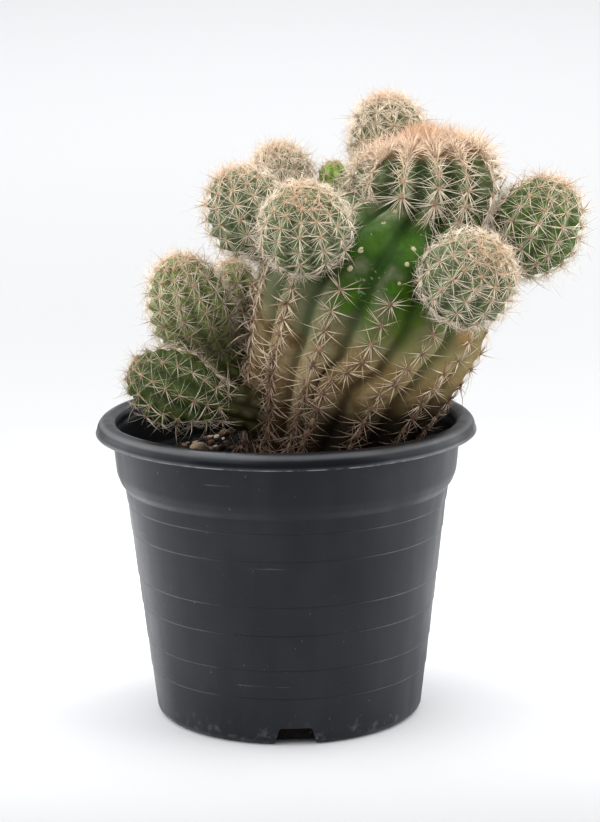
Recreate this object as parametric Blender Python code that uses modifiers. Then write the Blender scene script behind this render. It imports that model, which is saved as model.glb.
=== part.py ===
"""Potted lobivia: a leaning, ribbed cactus with its offsets, growing in a black nursery pot.

Metres, +Z up. The origin is the centre of the pot's flat underside, and the plant's front faces -Y.
"""

import math
import random
from dataclasses import dataclass

import bmesh
import bpy
from mathutils import Matrix, Vector
from mathutils.bvhtree import BVHTree
from mathutils.geometry import intersect_line_line

MM = 0.001
OBJECT_NAME = "potted_lobivia"
SEAT_GAP = 0.3 * MM
WELD = 0.01 * MM
SMOOTH_UNDER = math.radians(35)

# Pot, as a turned wall that widens by WALL_SLOPE for each unit of height
POT_SIDES = 40
WALL = 1.25 * MM
WALL_SLOPE = 0.1207
BASE_RADIUS = 36.8 * MM
FLOOR = 1.6 * MM
BASE_CORNER = 2.5 * MM
RING_HEIGHTS = [h * MM for h in (60.5, 52.7, 39.9, 31.8, 21.8, 13.7)]
RING_STEP = 0.22 * MM
RING_EDGE = 0.35 * MM
STEP_Z = 64.4 * MM
STEP_EDGE_Z = 66.1 * MM
STEP_EDGE_RADIUS = 46.0 * MM
BAND_LOW_Z = 68.5 * MM
BAND_LOW_RADIUS = 46.9 * MM
BAND_TOP_Z = 78.6 * MM
BAND_TOP_RADIUS = 47.9 * MM
LEDGE_Z = 69.7 * MM
LEDGE_DROP = 0.5 * MM
LIP_Z = 79.3 * MM
LIP_RADIUS = 52.5 * MM
LIP_EDGE = 0.8 * MM
RIM_TOP_Z = 83.4 * MM
RIM_TOP_RADIUS = 48.6 * MM
MOUTH_RADIUS = 47.1 * MM
MOUTH_Z = 82.4 * MM
MOUTH_SLOPE = 1.2 * MM
ARC_STEPS = 3

# Drain notches through the corner of wall and floor
NOTCHES = 3
NOTCH_ANGLE = math.radians(-87.5)
NOTCH_TOP_WIDTH = 8.7 * MM
NOTCH_BASE_WIDTH = 12.0 * MM
NOTCH_HEIGHT = 5.0 * MM
NOTCH_DEPTH = 5.5 * MM
NOTCH_BELOW = 1.0 * MM

# Soil, with a low mound round the old stem and a scatter of grit
SOIL_Z = 65.4 * MM
SOIL_MOUND = 4.6 * MM
SOIL_MOUND_CENTRE = (2.0 * MM, 4.0 * MM)
SOIL_MOUND_REACH = 22.0 * MM
SOIL_LUMPS = 0.35 * MM
SOIL_LUMP_LENGTHS = [length * MM for length in (3.1, 2.7, 4.3)]
SOIL_RINGS = 6
GRIT_SEED = 11
GRIT_PIECES = 22
GRIT_SIZES = (1.1 * MM, 2.1 * MM)
GRIT_STONE = (-24.5 * MM, 20.0 * MM, 2.4 * MM)
GRIT_SPACING = 1.4
GRIT_RISE = 0.15

# Needles
NEEDLE_SEED = 5
NEEDLE_ROOT = 0.27 * MM
NEEDLE_SUNK = 1.1 * MM
NEEDLE_SPREAD = 0.35 * MM
NEEDLE_CLEAR = 0.55 * MM
NEEDLE_SAMPLES = 12
NEEDLE_TILTS = [math.radians(a) for a in (62, 20, 52)]
NEEDLE_WAVER = 0.3
NEEDLE_LENGTHS = (0.85, 1.15)
NEEDLE_BENDS = ((0, 1), (0.6, 0.85), (0.9, 0.6))
OFFSET_NEEDLE = 5.5 * MM
GOLDEN_ANGLE = math.radians(137.508)

# Old stem, from its foot in the soil up the leaning barrel and the waist to the crown: x, y, z, radius in mm
MAIN_SECTIONS = [
    (4.5, 1.0, 54.0, 0.0),
    (5.0, 1.0, 58.5, 13.5),
    (6.2, 1.0, 66.5, 17.5),
    (8.6, 0.8, 75.5, 21.2),
    (12.2, 0.4, 84.5, 24.8),
    (15.7, 0.0, 93.8, 28.3),
    (19.3, 0.0, 102.8, 31.0),
    (22.8, 0.0, 111.8, 32.4),
    (26.6, 0.0, 120.2, 31.4),
    (30.6, 0.4, 127.6, 27.2),
    (33.8, 0.9, 133.0, 21.6),
    (36.2, 1.4, 137.4, 18.6),
    (37.7, 2.0, 142.2, 19.6),
    (38.3, 2.5, 147.2, 19.8),
    (38.4, 2.9, 151.9, 17.6),
    (38.2, 3.2, 155.6, 12.4),
    (38.0, 3.3, 157.6, 0.0),
]
SOIL_LINE_SECTION = 2
MAIN_BARE = (math.radians(-118), math.radians(-46), 0.51, 0.67)

# Young stems: steps along their axis, and how slowly the neck thins
OFFSET_STEPS = 10
SMALL_OFFSET = {"ribs": 9, "rings": 7, "rows": (3, 2), "tuft": 2}
MEDIUM_OFFSET = {"ribs": 10, "rings": 8, "rows": (4, 3), "tuft": 4}
NECK_TAPER = 0.25

# Depth of the furrows between the ribs, and the largest share of the radius that they take near a stem's ends
MAIN_RIB = 3.5 * MM
OFFSET_RIB = 1.4 * MM
DEEPEST_RIB = 0.2
RIB_FULLNESS = 0.8
SHARE_STEP = 0.012
CROWN_SHARE = 0.985
CROWN_TUFT = 0.05


@dataclass
class Stem:
    """One stem: sections (centre and radius, metres) along its axis, and how its ribs and needles repeat."""

    name: str
    sections: list
    ribs: int
    sides_per_rib: int
    rings: int
    rib_depth: float
    rows: tuple
    row_span: tuple
    needle: float
    tuft: int
    per_areole: int = 1
    bare: tuple = None

    def axis(self, share):
        """Centre, radius and direction of the axis a share of the way from foot to crown."""
        centre, radius = section_at(self.sections, share)
        ahead = section_at(self.sections, min(share + SHARE_STEP, 1.0))[0]
        behind = section_at(self.sections, max(share - SHARE_STEP, 0.0))[0]
        return centre, radius, (ahead - behind).normalized()

    def point(self, share, angle, grow=0.0):
        """The skin at this share and angle round the axis: on a crest, a flank or in a furrow."""
        centre, radius, along = self.axis(share)
        turn = Vector((0, 0, 1)).rotation_difference(along)
        crest = abs(math.cos(self.ribs * angle / 2)) ** RIB_FULLNESS
        radius -= min(self.rib_depth, DEEPEST_RIB * radius) * (1 - crest)
        outward = turn @ Vector((math.cos(angle), math.sin(angle), 0))
        end = along * grow * (1 if share > 0.5 else -1) if share in (0, 1) else Vector()
        return centre + outward * (radius + grow) + end

    def basis(self, share, angle):
        """The skin's outward normal on a rib's crest, and the two directions along the skin."""
        share = min(max(share, 1 - CROWN_SHARE), CROWN_SHARE)
        upward = (self.point(share + SHARE_STEP, angle) - self.point(share - SHARE_STEP, angle)).normalized()
        centre, _, along = self.axis(share)
        outward = self.point(share, angle) - centre
        sideways = along.cross(outward).normalized()
        return sideways.cross(upward).normalized(), upward, sideways


def spline(a, b, c, d, t):
    """Catmull-Rom curve between b and c."""
    return 0.5 * (2 * b + (c - a) * t + (2 * a - 5 * b + 4 * c - d) * t * t + (3 * b - a - 3 * c + d) * t**3)


def section_at(sections, share):
    place = share * (len(sections) - 1)
    first = min(int(place), len(sections) - 2)
    four = [sections[min(max(first + k, 0), len(sections) - 1)] for k in (-1, 0, 1, 2)]
    x, y, z, radius = (spline(*(s[j] for s in four), place - first) for j in range(4))
    return Vector((x, y, z)), max(radius, 0.0)


def offset_sections(foot, bend, crown, radius, neck, body):
    """A young stem's sections: a thin neck at its foot that swells into an egg-shaped body."""
    foot, bend, crown = Vector(foot) * MM, Vector(bend) * MM, Vector(crown) * MM
    length = (bend - foot).length + (crown - bend).length
    start = 1 - body * MM / length
    sections = []
    for step in range(OFFSET_STEPS + 1):
        along = (1 - math.cos(math.pi * step / OFFSET_STEPS)) / 2
        centre = foot.lerp(bend, along).lerp(bend.lerp(crown, along), along)
        across = (2 * along - 1 - start) / (1 - start)
        swell = math.sqrt(max(1 - across * across, 0))
        wide = max(radius * swell, neck * (1 - along) ** NECK_TAPER if across < 0 else 0)
        sections.append((*centre, wide * MM if 0 < step < OFFSET_STEPS else 0.0))
    return sections


def offset(name, foot, bend, crown, radius, neck, body, ribs=11, rings=9, rows=(5, 4), tuft=6):
    return Stem(
        name=f"offset_{name}",
        sections=offset_sections(foot, bend, crown, radius, neck, body),
        ribs=ribs,
        sides_per_rib=2,
        rings=rings,
        rib_depth=OFFSET_RIB,
        rows=rows,
        row_span=(0.36, 0.88),
        needle=OFFSET_NEEDLE,
        tuft=tuft,
    )


def stems():
    """The old stem and its offsets. The left, right, front and back of a name are as seen from the front.

    An offset's numbers in mm are its foot, inside the old stem, bend, crown, radius, neck and body length.
    """
    sections = [tuple(value * MM for value in section) for section in MAIN_SECTIONS]
    main = Stem(
        name="stem_main",
        sections=sections,
        ribs=13,
        sides_per_rib=4,
        rings=21,
        rib_depth=MAIN_RIB,
        rows=(13, 12),
        row_span=(0.15, 0.93),
        needle=7.0 * MM,
        tuft=18,
        per_areole=2,
        bare=MAIN_BARE,
    )
    return [
        main,
        offset("front_left", (8.5, -18, 129), (4.5, -24, 132.5), (5.6, -36.5, 149), 11.5, 5.0, 22),
        offset("left", (1, -5, 127), (-8, -7.5, 131), (-13.8, -9, 152.5), 10.8, 5.0, 23),
        offset("back_left", (6, 9, 131), (0, 11, 141), (-1.7, 12.5, 157.2), 7.7, 4.2, 18, **MEDIUM_OFFSET),
        offset("back_small", (18, 11, 134), (15, 13, 141), (13.5, 15, 151.4), 5.1, 3.0, 12, **SMALL_OFFSET),
        offset("top", (33, 10, 146), (30, 16.5, 149), (28.4, 20, 169.6), 10.4, 5.0, 22),
        offset("back_right", (42, 13, 138), (51, 21, 138), (53.5, 27, 151), 6.6, 4.0, 15, **MEDIUM_OFFSET),
        offset("right", (50, 0, 124), (65, 0, 119.5), (74, -1.5, 148), 12.1, 5.5, 27),
        offset("front_right", (41, -20, 116), (44.5, -30, 121), (53.8, -42, 134), 12.0, 5.5, 23),
        offset("basal_left", (-8, 7, 87), (-24, 5, 98), (-29.5, -2, 127.6), 11.2, 5.5, 29),
        offset("basal_low", (-6, -9, 86), (-23, -16, 90), (-41.6, -19, 101), 10.4, 5.5, 25),
        offset("basal_back", (-4, 12, 104), (-13, 17, 109), (-13.5, 18, 124), 5.8, 3.5, 13, **SMALL_OFFSET),
    ]


def material(name, colour, roughness):
    made = bpy.data.materials.new(name)
    made.use_nodes = True
    shader = made.node_tree.nodes["Principled BSDF"]
    shader.inputs["Base Color"].default_value = (*colour, 1)
    shader.inputs["Roughness"].default_value = roughness
    shader.inputs["Metallic"].default_value = 0
    return made


def new_collection(name, hidden=False):
    made = bpy.data.collections.new(name)
    made.hide_render = hidden
    bpy.context.scene.collection.children.link(made)
    return made


def object_from(bm, name, collection):
    mesh = bpy.data.meshes.new(name)
    bm.to_mesh(mesh)
    bm.free()
    made = bpy.data.objects.new(name, mesh)
    collection.objects.link(made)
    return made


def finish(obj, look):
    obj.data.materials.clear()
    obj.data.materials.append(look)
    obj.data.shade_smooth()
    obj.data.set_sharp_from_angle(angle=SMOOTH_UNDER)


def cutter(obj):
    obj.hide_render = True
    obj.display_type = "WIRE"
    return obj


def boolean(obj, operation, other=None, collection=None, solver="EXACT"):
    modifier = obj.modifiers.new(operation.lower(), "BOOLEAN")
    modifier.operation = operation
    modifier.solver = solver
    if collection:
        modifier.operand_type = "COLLECTION"
        modifier.collection = collection
    else:
        modifier.object = other
    return modifier


def apply_modifiers(obj):
    graph = bpy.context.evaluated_depsgraph_get()
    made = bpy.data.meshes.new_from_object(obj.evaluated_get(graph))
    obj.modifiers.clear()
    old = obj.data
    obj.data = made
    made.name = obj.name
    bpy.data.meshes.remove(old)


def wall_radius(z):
    return BASE_RADIUS + WALL_SLOPE * z


def quarter_turn():
    return [math.pi / 2 * step / ARC_STEPS for step in range(ARC_STEPS + 1)]


def pot_profile():
    """Radius and height, from inside the floor up the inner wall, over the rim and down the outside."""
    inside = [
        (0, FLOOR),
        (wall_radius(FLOOR) - WALL, FLOOR),
        (wall_radius(STEP_EDGE_Z) - WALL, STEP_EDGE_Z),
        (STEP_EDGE_RADIUS - WALL, LEDGE_Z - LEDGE_DROP),
        (BAND_LOW_RADIUS - WALL, LEDGE_Z),
        (BAND_TOP_RADIUS - WALL, MOUTH_Z - MOUTH_SLOPE),
        (MOUTH_RADIUS, MOUTH_Z),
    ]
    lip_top = LIP_Z + LIP_EDGE
    rim = []
    for turn in quarter_turn():
        out = RIM_TOP_RADIUS + (LIP_RADIUS - LIP_EDGE / 2 - RIM_TOP_RADIUS) * math.sin(turn)
        rim.append((out, lip_top + (RIM_TOP_Z - lip_top) * math.cos(turn)))
    lip = [
        (LIP_RADIUS, LIP_Z),
        (LIP_RADIUS - WALL, LIP_Z),
        (LIP_RADIUS - 2 * WALL, lip_top + LIP_EDGE),
        (BAND_TOP_RADIUS + LIP_EDGE / 2, lip_top + LIP_EDGE),
    ]
    band = [
        (BAND_TOP_RADIUS, BAND_TOP_Z),
        (BAND_LOW_RADIUS, BAND_LOW_Z),
        (STEP_EDGE_RADIUS, STEP_EDGE_Z),
        (wall_radius(STEP_Z) + RING_STEP, STEP_Z),
    ]
    rings = []
    for height in RING_HEIGHTS:
        rings.append((wall_radius(height) + RING_STEP / 2, height))
        rings.append((wall_radius(height) - RING_STEP / 2, height - RING_EDGE))
    foot = []
    centre = wall_radius(BASE_CORNER) - BASE_CORNER
    for turn in quarter_turn():
        foot.append((centre + BASE_CORNER * math.cos(turn), BASE_CORNER * (1 - math.sin(turn))))
    return inside + rim + lip + band + rings + foot + [(0, 0)]


def pot(parts, cutters):
    bm = bmesh.new()
    points = [bm.verts.new((radius, 0, z)) for radius, z in pot_profile()]
    for first, second in zip(points, points[1:]):
        bm.edges.new((first, second))
    made = object_from(bm, "pot", parts)
    screw = made.modifiers.new("turned", "SCREW")
    screw.axis = "Z"
    screw.steps = screw.render_steps = POT_SIDES
    screw.use_merge_vertices = True
    screw.merge_threshold = WELD
    for index in range(NOTCHES):
        boolean(made, "DIFFERENCE", notch_cutter(cutters, index))
    finish(made, material("black_plastic", (0.012, 0.012, 0.014), 0.42))
    return made


def notch_cutter(cutters, index):
    """A block with sloping sides that takes out one notch at the foot of the wall."""
    bm = bmesh.new()
    bmesh.ops.create_cube(bm, size=1)
    for vertex in bm.verts:
        upper = vertex.co.z > 0
        x = BASE_RADIUS + 2 * NOTCH_DEPTH * vertex.co.x
        y = (NOTCH_TOP_WIDTH if upper else NOTCH_BASE_WIDTH) * vertex.co.y
        vertex.co = Vector((x, y, NOTCH_HEIGHT if upper else -NOTCH_BELOW))
    angle = NOTCH_ANGLE + index * 2 * math.pi / NOTCHES
    bmesh.ops.rotate(bm, verts=bm.verts, cent=(0, 0, 0), matrix=Matrix.Rotation(angle, 3, "Z"))
    return cutter(object_from(bm, f"notch_cutter_{index + 1}", cutters))


def soil_height(x, y):
    mound_x, mound_y = SOIL_MOUND_CENTRE
    away = math.hypot(x - mound_x, y - mound_y) / SOIL_MOUND_REACH
    first, second, third = SOIL_LUMP_LENGTHS
    lumps = math.sin(x / first) * math.cos(y / second + 1) + math.sin((x + 2 * y) / third)
    return SOIL_Z + SOIL_MOUND * math.exp(-away * away) + SOIL_LUMPS * lumps


def pebble(bm, x, y, size, chance):
    """A squashed stone, turned at random, with a third of it above the soil."""
    before = set(bm.verts)
    bmesh.ops.create_icosphere(bm, subdivisions=1, radius=size)
    stone = [vertex for vertex in bm.verts if vertex not in before]
    squash = Vector((chance.uniform(0.8, 1.2), chance.uniform(0.8, 1.1), chance.uniform(0.6, 0.9)))
    bmesh.ops.scale(bm, vec=squash, verts=stone)
    turn = Matrix.Rotation(chance.uniform(0, math.tau), 3, (chance.random(), chance.random(), 0.5))
    bmesh.ops.rotate(bm, verts=stone, cent=(0, 0, 0), matrix=turn)
    bmesh.ops.translate(bm, verts=stone, vec=(x, y, soil_height(x, y) + GRIT_RISE * size))


def grit(main):
    """A collection of stones on the open soil, clear of the old stem and of the pot's wall."""
    chance = random.Random(GRIT_SEED)
    made = new_collection("grit")
    places = [GRIT_STONE]
    centre, radius = section_at(main.sections, SOIL_LINE_SECTION / (len(MAIN_SECTIONS) - 1))
    limit = wall_radius(SOIL_Z) - WALL - SEAT_GAP
    while len(places) < GRIT_PIECES:
        x, y = chance.uniform(-limit, limit), chance.uniform(-limit, limit)
        size = chance.uniform(*GRIT_SIZES)
        off_stem = math.hypot(x - centre.x, y - centre.y) > radius + GRIT_SPACING * size
        in_pot = math.hypot(x, y) < limit - GRIT_SPACING * size
        apart = all(math.hypot(x - px, y - py) > GRIT_SPACING * (size + other) for px, py, other in places)
        if off_stem and in_pot and apart:
            places.append((x, y, size))
    for index, (x, y, size) in enumerate(places):
        bm = bmesh.new()
        pebble(bm, x, y, size, chance)
        object_from(bm, f"grit_{index}", made)
    return made


def soil(parts, cutters, main):
    """The fill of the pot, with an uneven top, a plain hole for the old stem, and grit joined to it."""
    low, high = FLOOR + SEAT_GAP, SOIL_Z
    bm = bmesh.new()
    bmesh.ops.create_cone(
        bm,
        cap_ends=True,
        segments=POT_SIDES,
        radius1=wall_radius(low) - WALL - SEAT_GAP,
        radius2=wall_radius(high) - WALL - SEAT_GAP,
        depth=high - low,
    )
    bmesh.ops.translate(bm, verts=bm.verts, vec=(0, 0, (high + low) / 2))
    ring = (wall_radius(high) - WALL) / (SOIL_RINGS + 1)
    for _ in range(SOIL_RINGS):
        top = max(bm.faces, key=lambda face: (face.calc_center_median().z, face.calc_area()))
        bmesh.ops.inset_region(bm, faces=[top], thickness=ring)
    bmesh.ops.poke(bm, faces=[max(bm.faces, key=lambda face: (face.calc_center_median().z, len(face.verts)))])
    for vertex in bm.verts:
        if vertex.co.z > high - MM:
            vertex.co.z = soil_height(vertex.co.x, vertex.co.y)
    made = object_from(bm, "soil", parts)
    stones = grit(main)
    boolean(made, "UNION", collection=stones)
    apply_modifiers(made)
    remove_collection(stones)
    boolean(made, "DIFFERENCE", stem_body(main, "soil_hole_cutter", cutters, SEAT_GAP), solver="MANIFOLD")
    apply_modifiers(made)
    keep_largest_piece(made)
    finish(made, material("soil", (0.035, 0.025, 0.018), 0.95))
    return made


def remove_collection(collection):
    for obj in list(collection.objects):
        bpy.data.meshes.remove(obj.data)
    bpy.data.collections.remove(collection)


def stem_body(stem, name, collection, grow=0.0):
    """A sphere's rings moved out to the stem's ribbed skin. A grown copy cuts a seat for what touches it."""
    bm = bmesh.new()
    bmesh.ops.create_uvsphere(bm, u_segments=stem.ribs * stem.sides_per_rib, v_segments=stem.rings, radius=1)
    for vertex in bm.verts:
        share = 1 - math.acos(max(-1.0, min(1.0, vertex.co.z))) / math.pi
        share = round(share * stem.rings) / stem.rings
        vertex.co = stem.point(share, math.atan2(-vertex.co.x, vertex.co.y), grow)
    made = object_from(bm, name, collection)
    return cutter(made) if grow else made


def inside_bare(stem, share, angle):
    if stem.bare is None:
        return False
    low, high, start, end = stem.bare
    angle = (angle + math.pi) % math.tau - math.pi
    return low < angle < high and start < share < end


def needle_lines(stem, chance):
    """Root and tip of each needle: one on every areole along the rib crests, and a tuft on the crown."""
    lines = []
    spots = []
    for rib in range(stem.ribs):
        rows = stem.rows[rib % 2]
        start, end = stem.row_span
        for row in range(rows):
            share = start + (end - start) * (row + 0.5 * (rib % 2)) / rows
            spots.append((share, math.tau * rib / stem.ribs))
    for step in range(stem.tuft):
        spots.append((CROWN_SHARE - CROWN_TUFT * (step + 1) / stem.tuft, step * GOLDEN_ANGLE))
    for index, (share, angle) in enumerate(spots):
        if inside_bare(stem, share, angle):
            continue
        normal, upward, sideways = stem.basis(share, angle)
        crown = index >= len(spots) - stem.tuft
        for pair in range(1 if crown else stem.per_areole):
            around = index * GOLDEN_ANGLE + pair * math.pi + chance.uniform(-NEEDLE_WAVER, NEEDLE_WAVER)
            tilt = NEEDLE_TILTS[(index + pair) % len(NEEDLE_TILTS)] * (0.5 if crown else 1)
            lean = upward * math.cos(around) + sideways * math.sin(around)
            direction = (normal * math.cos(tilt) + lean * math.sin(tilt)).normalized()
            root = stem.point(share, angle) + lean * NEEDLE_SPREAD * (0 if crown else 1)
            lines.append((root, direction, normal, stem.needle * chance.uniform(*NEEDLE_LENGTHS)))
    return lines


def clear_of_bodies(root, tip, bodies):
    """True where the needle keeps its distance from the skin of each other body, from root to tip."""
    steps = NEEDLE_SAMPLES
    places = [root.lerp(tip, step / steps) for step in range(steps + 1)]
    return all((body.find_nearest(place)[3] > NEEDLE_CLEAR) for body in bodies for place in places)


def clear_of_needles(root, tip, needles):
    """True where no needle of another node passes close to this one."""
    for other_root, other_tip in needles:
        if (root - other_root).length > 2.5 * (tip - root).length:
            continue
        crossing = intersect_line_line(root, tip, other_root, other_tip)
        ends = [(tip, other_root, other_tip), (other_tip, root, tip)]
        if any(distance_to_line(point, start, end) < NEEDLE_CLEAR for point, start, end in ends):
            return False
        if crossing and (crossing[0] - crossing[1]).length < NEEDLE_CLEAR:
            if between(crossing[0], root, tip) and between(crossing[1], other_root, other_tip):
                return False
    return True


def between(point, start, end):
    return 0 <= (point - start).dot(end - start) <= (end - start).length_squared


def distance_to_line(point, start, end):
    line = end - start
    share = min(max((point - start).dot(line) / line.length_squared, 0), 1)
    return (point - start - line * share).length


def place_needles(stem, own, bodies, others, chance):
    """Needles that stay clear of the other nodes: one that would cross is bent upright, or left out.

    One whose root was cut away with the stem's seat is left out too."""
    placed = []
    for root, direction, normal, length in needle_lines(stem, chance):
        if own.find_nearest(root)[3] > NEEDLE_ROOT:
            continue
        for bend, share in NEEDLE_BENDS:
            tip = root + direction.lerp(normal, bend).normalized() * length * share
            if clear_of_bodies(root, tip, bodies) and clear_of_needles(root, tip, others):
                placed.append((root - normal * NEEDLE_SUNK, tip))
                break
    return placed


def needle(root, tip, name, collection):
    bm = bmesh.new()
    length = (tip - root).length
    bmesh.ops.create_cone(bm, cap_ends=True, segments=3, radius1=NEEDLE_ROOT, radius2=0, depth=length)
    turn = Vector((0, 0, 1)).rotation_difference(tip - root).to_matrix()
    bmesh.ops.rotate(bm, verts=bm.verts, cent=(0, 0, 0), matrix=turn)
    bmesh.ops.translate(bm, verts=bm.verts, vec=(root + tip) / 2)
    object_from(bm, name, collection)


def keep_largest_piece(obj):
    """Drops the loose scraps that a cut leaves, so that the node stays one body."""
    bm = bmesh.new()
    bm.from_mesh(obj.data)
    left = set(bm.verts)
    pieces = []
    while left:
        seed = left.pop()
        piece, edge = {seed}, [seed]
        while edge:
            vertex = edge.pop()
            for link in vertex.link_edges:
                other = link.other_vert(vertex)
                if other in left:
                    left.remove(other)
                    piece.add(other)
                    edge.append(other)
        pieces.append(piece)
    main_piece = max(pieces, key=len)
    bmesh.ops.delete(bm, geom=[v for v in bm.verts if v not in main_piece], context="VERTS")
    bm.to_mesh(obj.data)
    bm.free()


def fuse_needles(obj, needles):
    if not needles:
        return
    spines = new_collection(f"{obj.name}_needles")
    for index, (root, tip) in enumerate(needles):
        needle(root, tip, f"{obj.name}_needle_{index}", spines)
    boolean(obj, "UNION", collection=spines, solver="MANIFOLD")
    apply_modifiers(obj)
    remove_collection(spines)
    keep_largest_piece(obj)


def tree(obj):
    graph = bpy.context.evaluated_depsgraph_get()
    return BVHTree.FromObject(obj, graph)


def plant(parts, cutters, plain):
    """The stems, each seated on the old one, and then their needles. plain holds the pot and the soil."""
    every = stems()
    seat = stem_body(every[0], "seat_cutter", cutters, SEAT_GAP)
    bodies = []
    for stem in every:
        body = stem_body(stem, stem.name, parts)
        if bodies:
            boolean(body, "DIFFERENCE", seat)
            apply_modifiers(body)
            keep_largest_piece(body)
        bodies.append(body)
    trees = [tree(body) for body in bodies + plain]
    chance = random.Random(NEEDLE_SEED)
    placed = []
    for index, stem in enumerate(every):
        others = [line for lines in placed for line in lines]
        others_trees = trees[:index] + trees[index + 1 :]
        placed.append(place_needles(stem, trees[index], others_trees, others, chance))
    looks = {
        "old": material("old_stem_skin", (0.16, 0.17, 0.07), 0.6),
        "young": material("young_stem_skin", (0.13, 0.19, 0.08), 0.6),
    }
    for index, (body, needles) in enumerate(zip(bodies, placed)):
        fuse_needles(body, needles)
        finish(body, looks["young" if index else "old"])


def main():
    for obj in list(bpy.data.objects):
        bpy.data.objects.remove(obj, do_unlink=True)
    parts = new_collection(OBJECT_NAME)
    cutters = new_collection("cutters", hidden=True)
    container = pot(parts, cutters)
    fill = soil(parts, cutters, stems()[0])
    bpy.context.view_layer.update()
    plant(parts, cutters, [container, fill])


main()
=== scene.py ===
"""Potted lobivia: a leaning, ribbed cactus with its offsets, growing in a black nursery pot.

Metres, +Z up. The origin is the centre of the pot's flat underside, and the plant's front faces -Y.
The file is laid out as a Blender add-on and run as a script: main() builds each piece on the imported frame.
"""

import math
import random
from dataclasses import dataclass, fields

import bmesh
import bpy
from bpy.props import FloatProperty, FloatVectorProperty, PointerProperty
from mathutils import Matrix, Vector
from mathutils.bvhtree import BVHTree


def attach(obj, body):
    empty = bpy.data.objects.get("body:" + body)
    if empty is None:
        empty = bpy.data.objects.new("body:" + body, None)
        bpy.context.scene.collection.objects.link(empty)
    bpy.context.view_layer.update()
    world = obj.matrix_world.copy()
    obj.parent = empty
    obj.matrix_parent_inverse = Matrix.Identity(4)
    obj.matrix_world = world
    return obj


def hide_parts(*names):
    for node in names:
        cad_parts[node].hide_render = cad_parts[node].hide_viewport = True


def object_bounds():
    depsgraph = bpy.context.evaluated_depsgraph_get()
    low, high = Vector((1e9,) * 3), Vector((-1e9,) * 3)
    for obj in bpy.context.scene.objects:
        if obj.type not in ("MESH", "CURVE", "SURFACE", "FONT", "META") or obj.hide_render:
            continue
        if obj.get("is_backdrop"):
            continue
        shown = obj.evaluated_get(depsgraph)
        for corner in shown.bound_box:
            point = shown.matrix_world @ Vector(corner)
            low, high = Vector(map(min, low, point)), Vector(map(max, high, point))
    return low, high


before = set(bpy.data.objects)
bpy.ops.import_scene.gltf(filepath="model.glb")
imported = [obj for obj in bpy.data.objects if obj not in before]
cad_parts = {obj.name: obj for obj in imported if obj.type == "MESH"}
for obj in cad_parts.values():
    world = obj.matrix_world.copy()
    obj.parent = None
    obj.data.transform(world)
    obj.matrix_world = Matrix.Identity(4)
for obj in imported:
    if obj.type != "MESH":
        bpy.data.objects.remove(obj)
CAD_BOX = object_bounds()

bl_info = {
    "name": "Potted lobivia",
    "version": (1, 0, 0),
    "blender": (4, 5, 0),
    "location": "3D View > Sidebar > Lobivia",
    "description": "Builds a potted lobivia with its offsets, spines, soil and nursery pot",
    "category": "Add Mesh",
}

MM = 0.001

# Camera, as fitted to the pot's rim, base and rings: the picture's long side spans the sensor
IMAGE_HEIGHT = 822
FOCAL_PIXELS = 2700
SENSOR = 36.0
CAMERA_PLACE = (0.0, -0.72818, 0.2376)
CAMERA_PITCH = 0.20764
CAMERA_YAW = 0.0053
CAMERA_ROLL = -0.01116

# Pot, as a turned wall that widens by WALL_SLOPE for each unit of height
POT_SIDES = 176
WALL = 1.25 * MM
WALL_SLOPE = 0.1207
BASE_RADIUS = 36.8 * MM
FLOOR = 1.6 * MM
BASE_CORNER = 2.5 * MM
RING_HEIGHTS = [h * MM for h in (60.5, 52.7, 39.9, 31.8, 21.8, 13.7)]
RING_DEPTH = 0.22 * MM
RING_EDGE = 0.35 * MM
STEP_Z = 64.4 * MM
STEP_EDGE_Z = 66.1 * MM
STEP_EDGE_RADIUS = 46.0 * MM
BAND_LOW_Z = 68.5 * MM
BAND_LOW_RADIUS = 46.9 * MM
BAND_TOP_Z = 78.6 * MM
BAND_TOP_RADIUS = 47.9 * MM
LEDGE_Z = 69.7 * MM
LEDGE_DROP = 0.5 * MM
LIP_Z = 79.3 * MM
LIP_RADIUS = 52.5 * MM
LIP_EDGE = 0.8 * MM
RIM_TOP_Z = 83.4 * MM
RIM_TOP_RADIUS = 48.6 * MM
MOUTH_RADIUS = 47.1 * MM
MOUTH_Z = 82.4 * MM
MOUTH_SLOPE = 1.2 * MM
RIM_STEPS = 10
FILLET_STEPS = 3
FILLET_SUPPORT = 0.35 * MM
POT_EDGE_ANGLE = math.radians(40)
PLASTIC_GLOSS = 0.43

# Drain notches through the corner of wall and floor
NOTCHES = 3
NOTCH_ANGLE = math.radians(-87.5)
NOTCH_TOP_WIDTH = 8.7 * MM
NOTCH_BASE_WIDTH = 12.0 * MM
NOTCH_HEIGHT = 5.0 * MM
NOTCH_DEPTH = 5.5 * MM
NOTCH_BELOW = 1.0 * MM
NOTCH_ROUNDING = 0.6 * MM

# Soil, with a low mound round the old stem
SEAT_GAP = 0.3 * MM
SOIL_Z = 65.4 * MM
SOIL_RISE = 2.9 * MM
SOIL_RISE_EDGE = (38.0 * MM, 43.0 * MM)
SOIL_MOUND = 7.5 * MM
SOIL_MOUND_CENTRE = (-8.0 * MM, 10.0 * MM)
SOIL_MOUND_REACH = 22.0 * MM
SOIL_LUMPS = 0.35 * MM
SOIL_LUMP_LENGTHS = [length * MM for length in (3.1, 2.7, 4.3)]
SOIL_SIDES = 150
SOIL_RINGS = 56
GRIT_DENSITY = 120000.0
LARGEST_GRAIN = 1.2 * MM
GRIT_MARGIN = 2.0 * MM
# Grit lies where the upward part of the soil's normal is at least this
LEVEL_ENOUGH = 0.2
# How pale the darkest loose stone is, on the scale from dark compost at 0 to white pumice at 1
DARKEST_STONE = 0.84
ABOVE_SOIL = 100 * MM
# How far a loose stone's centre lies above the soil, as a share of its radius
STONE_RISE = 0.25
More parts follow.
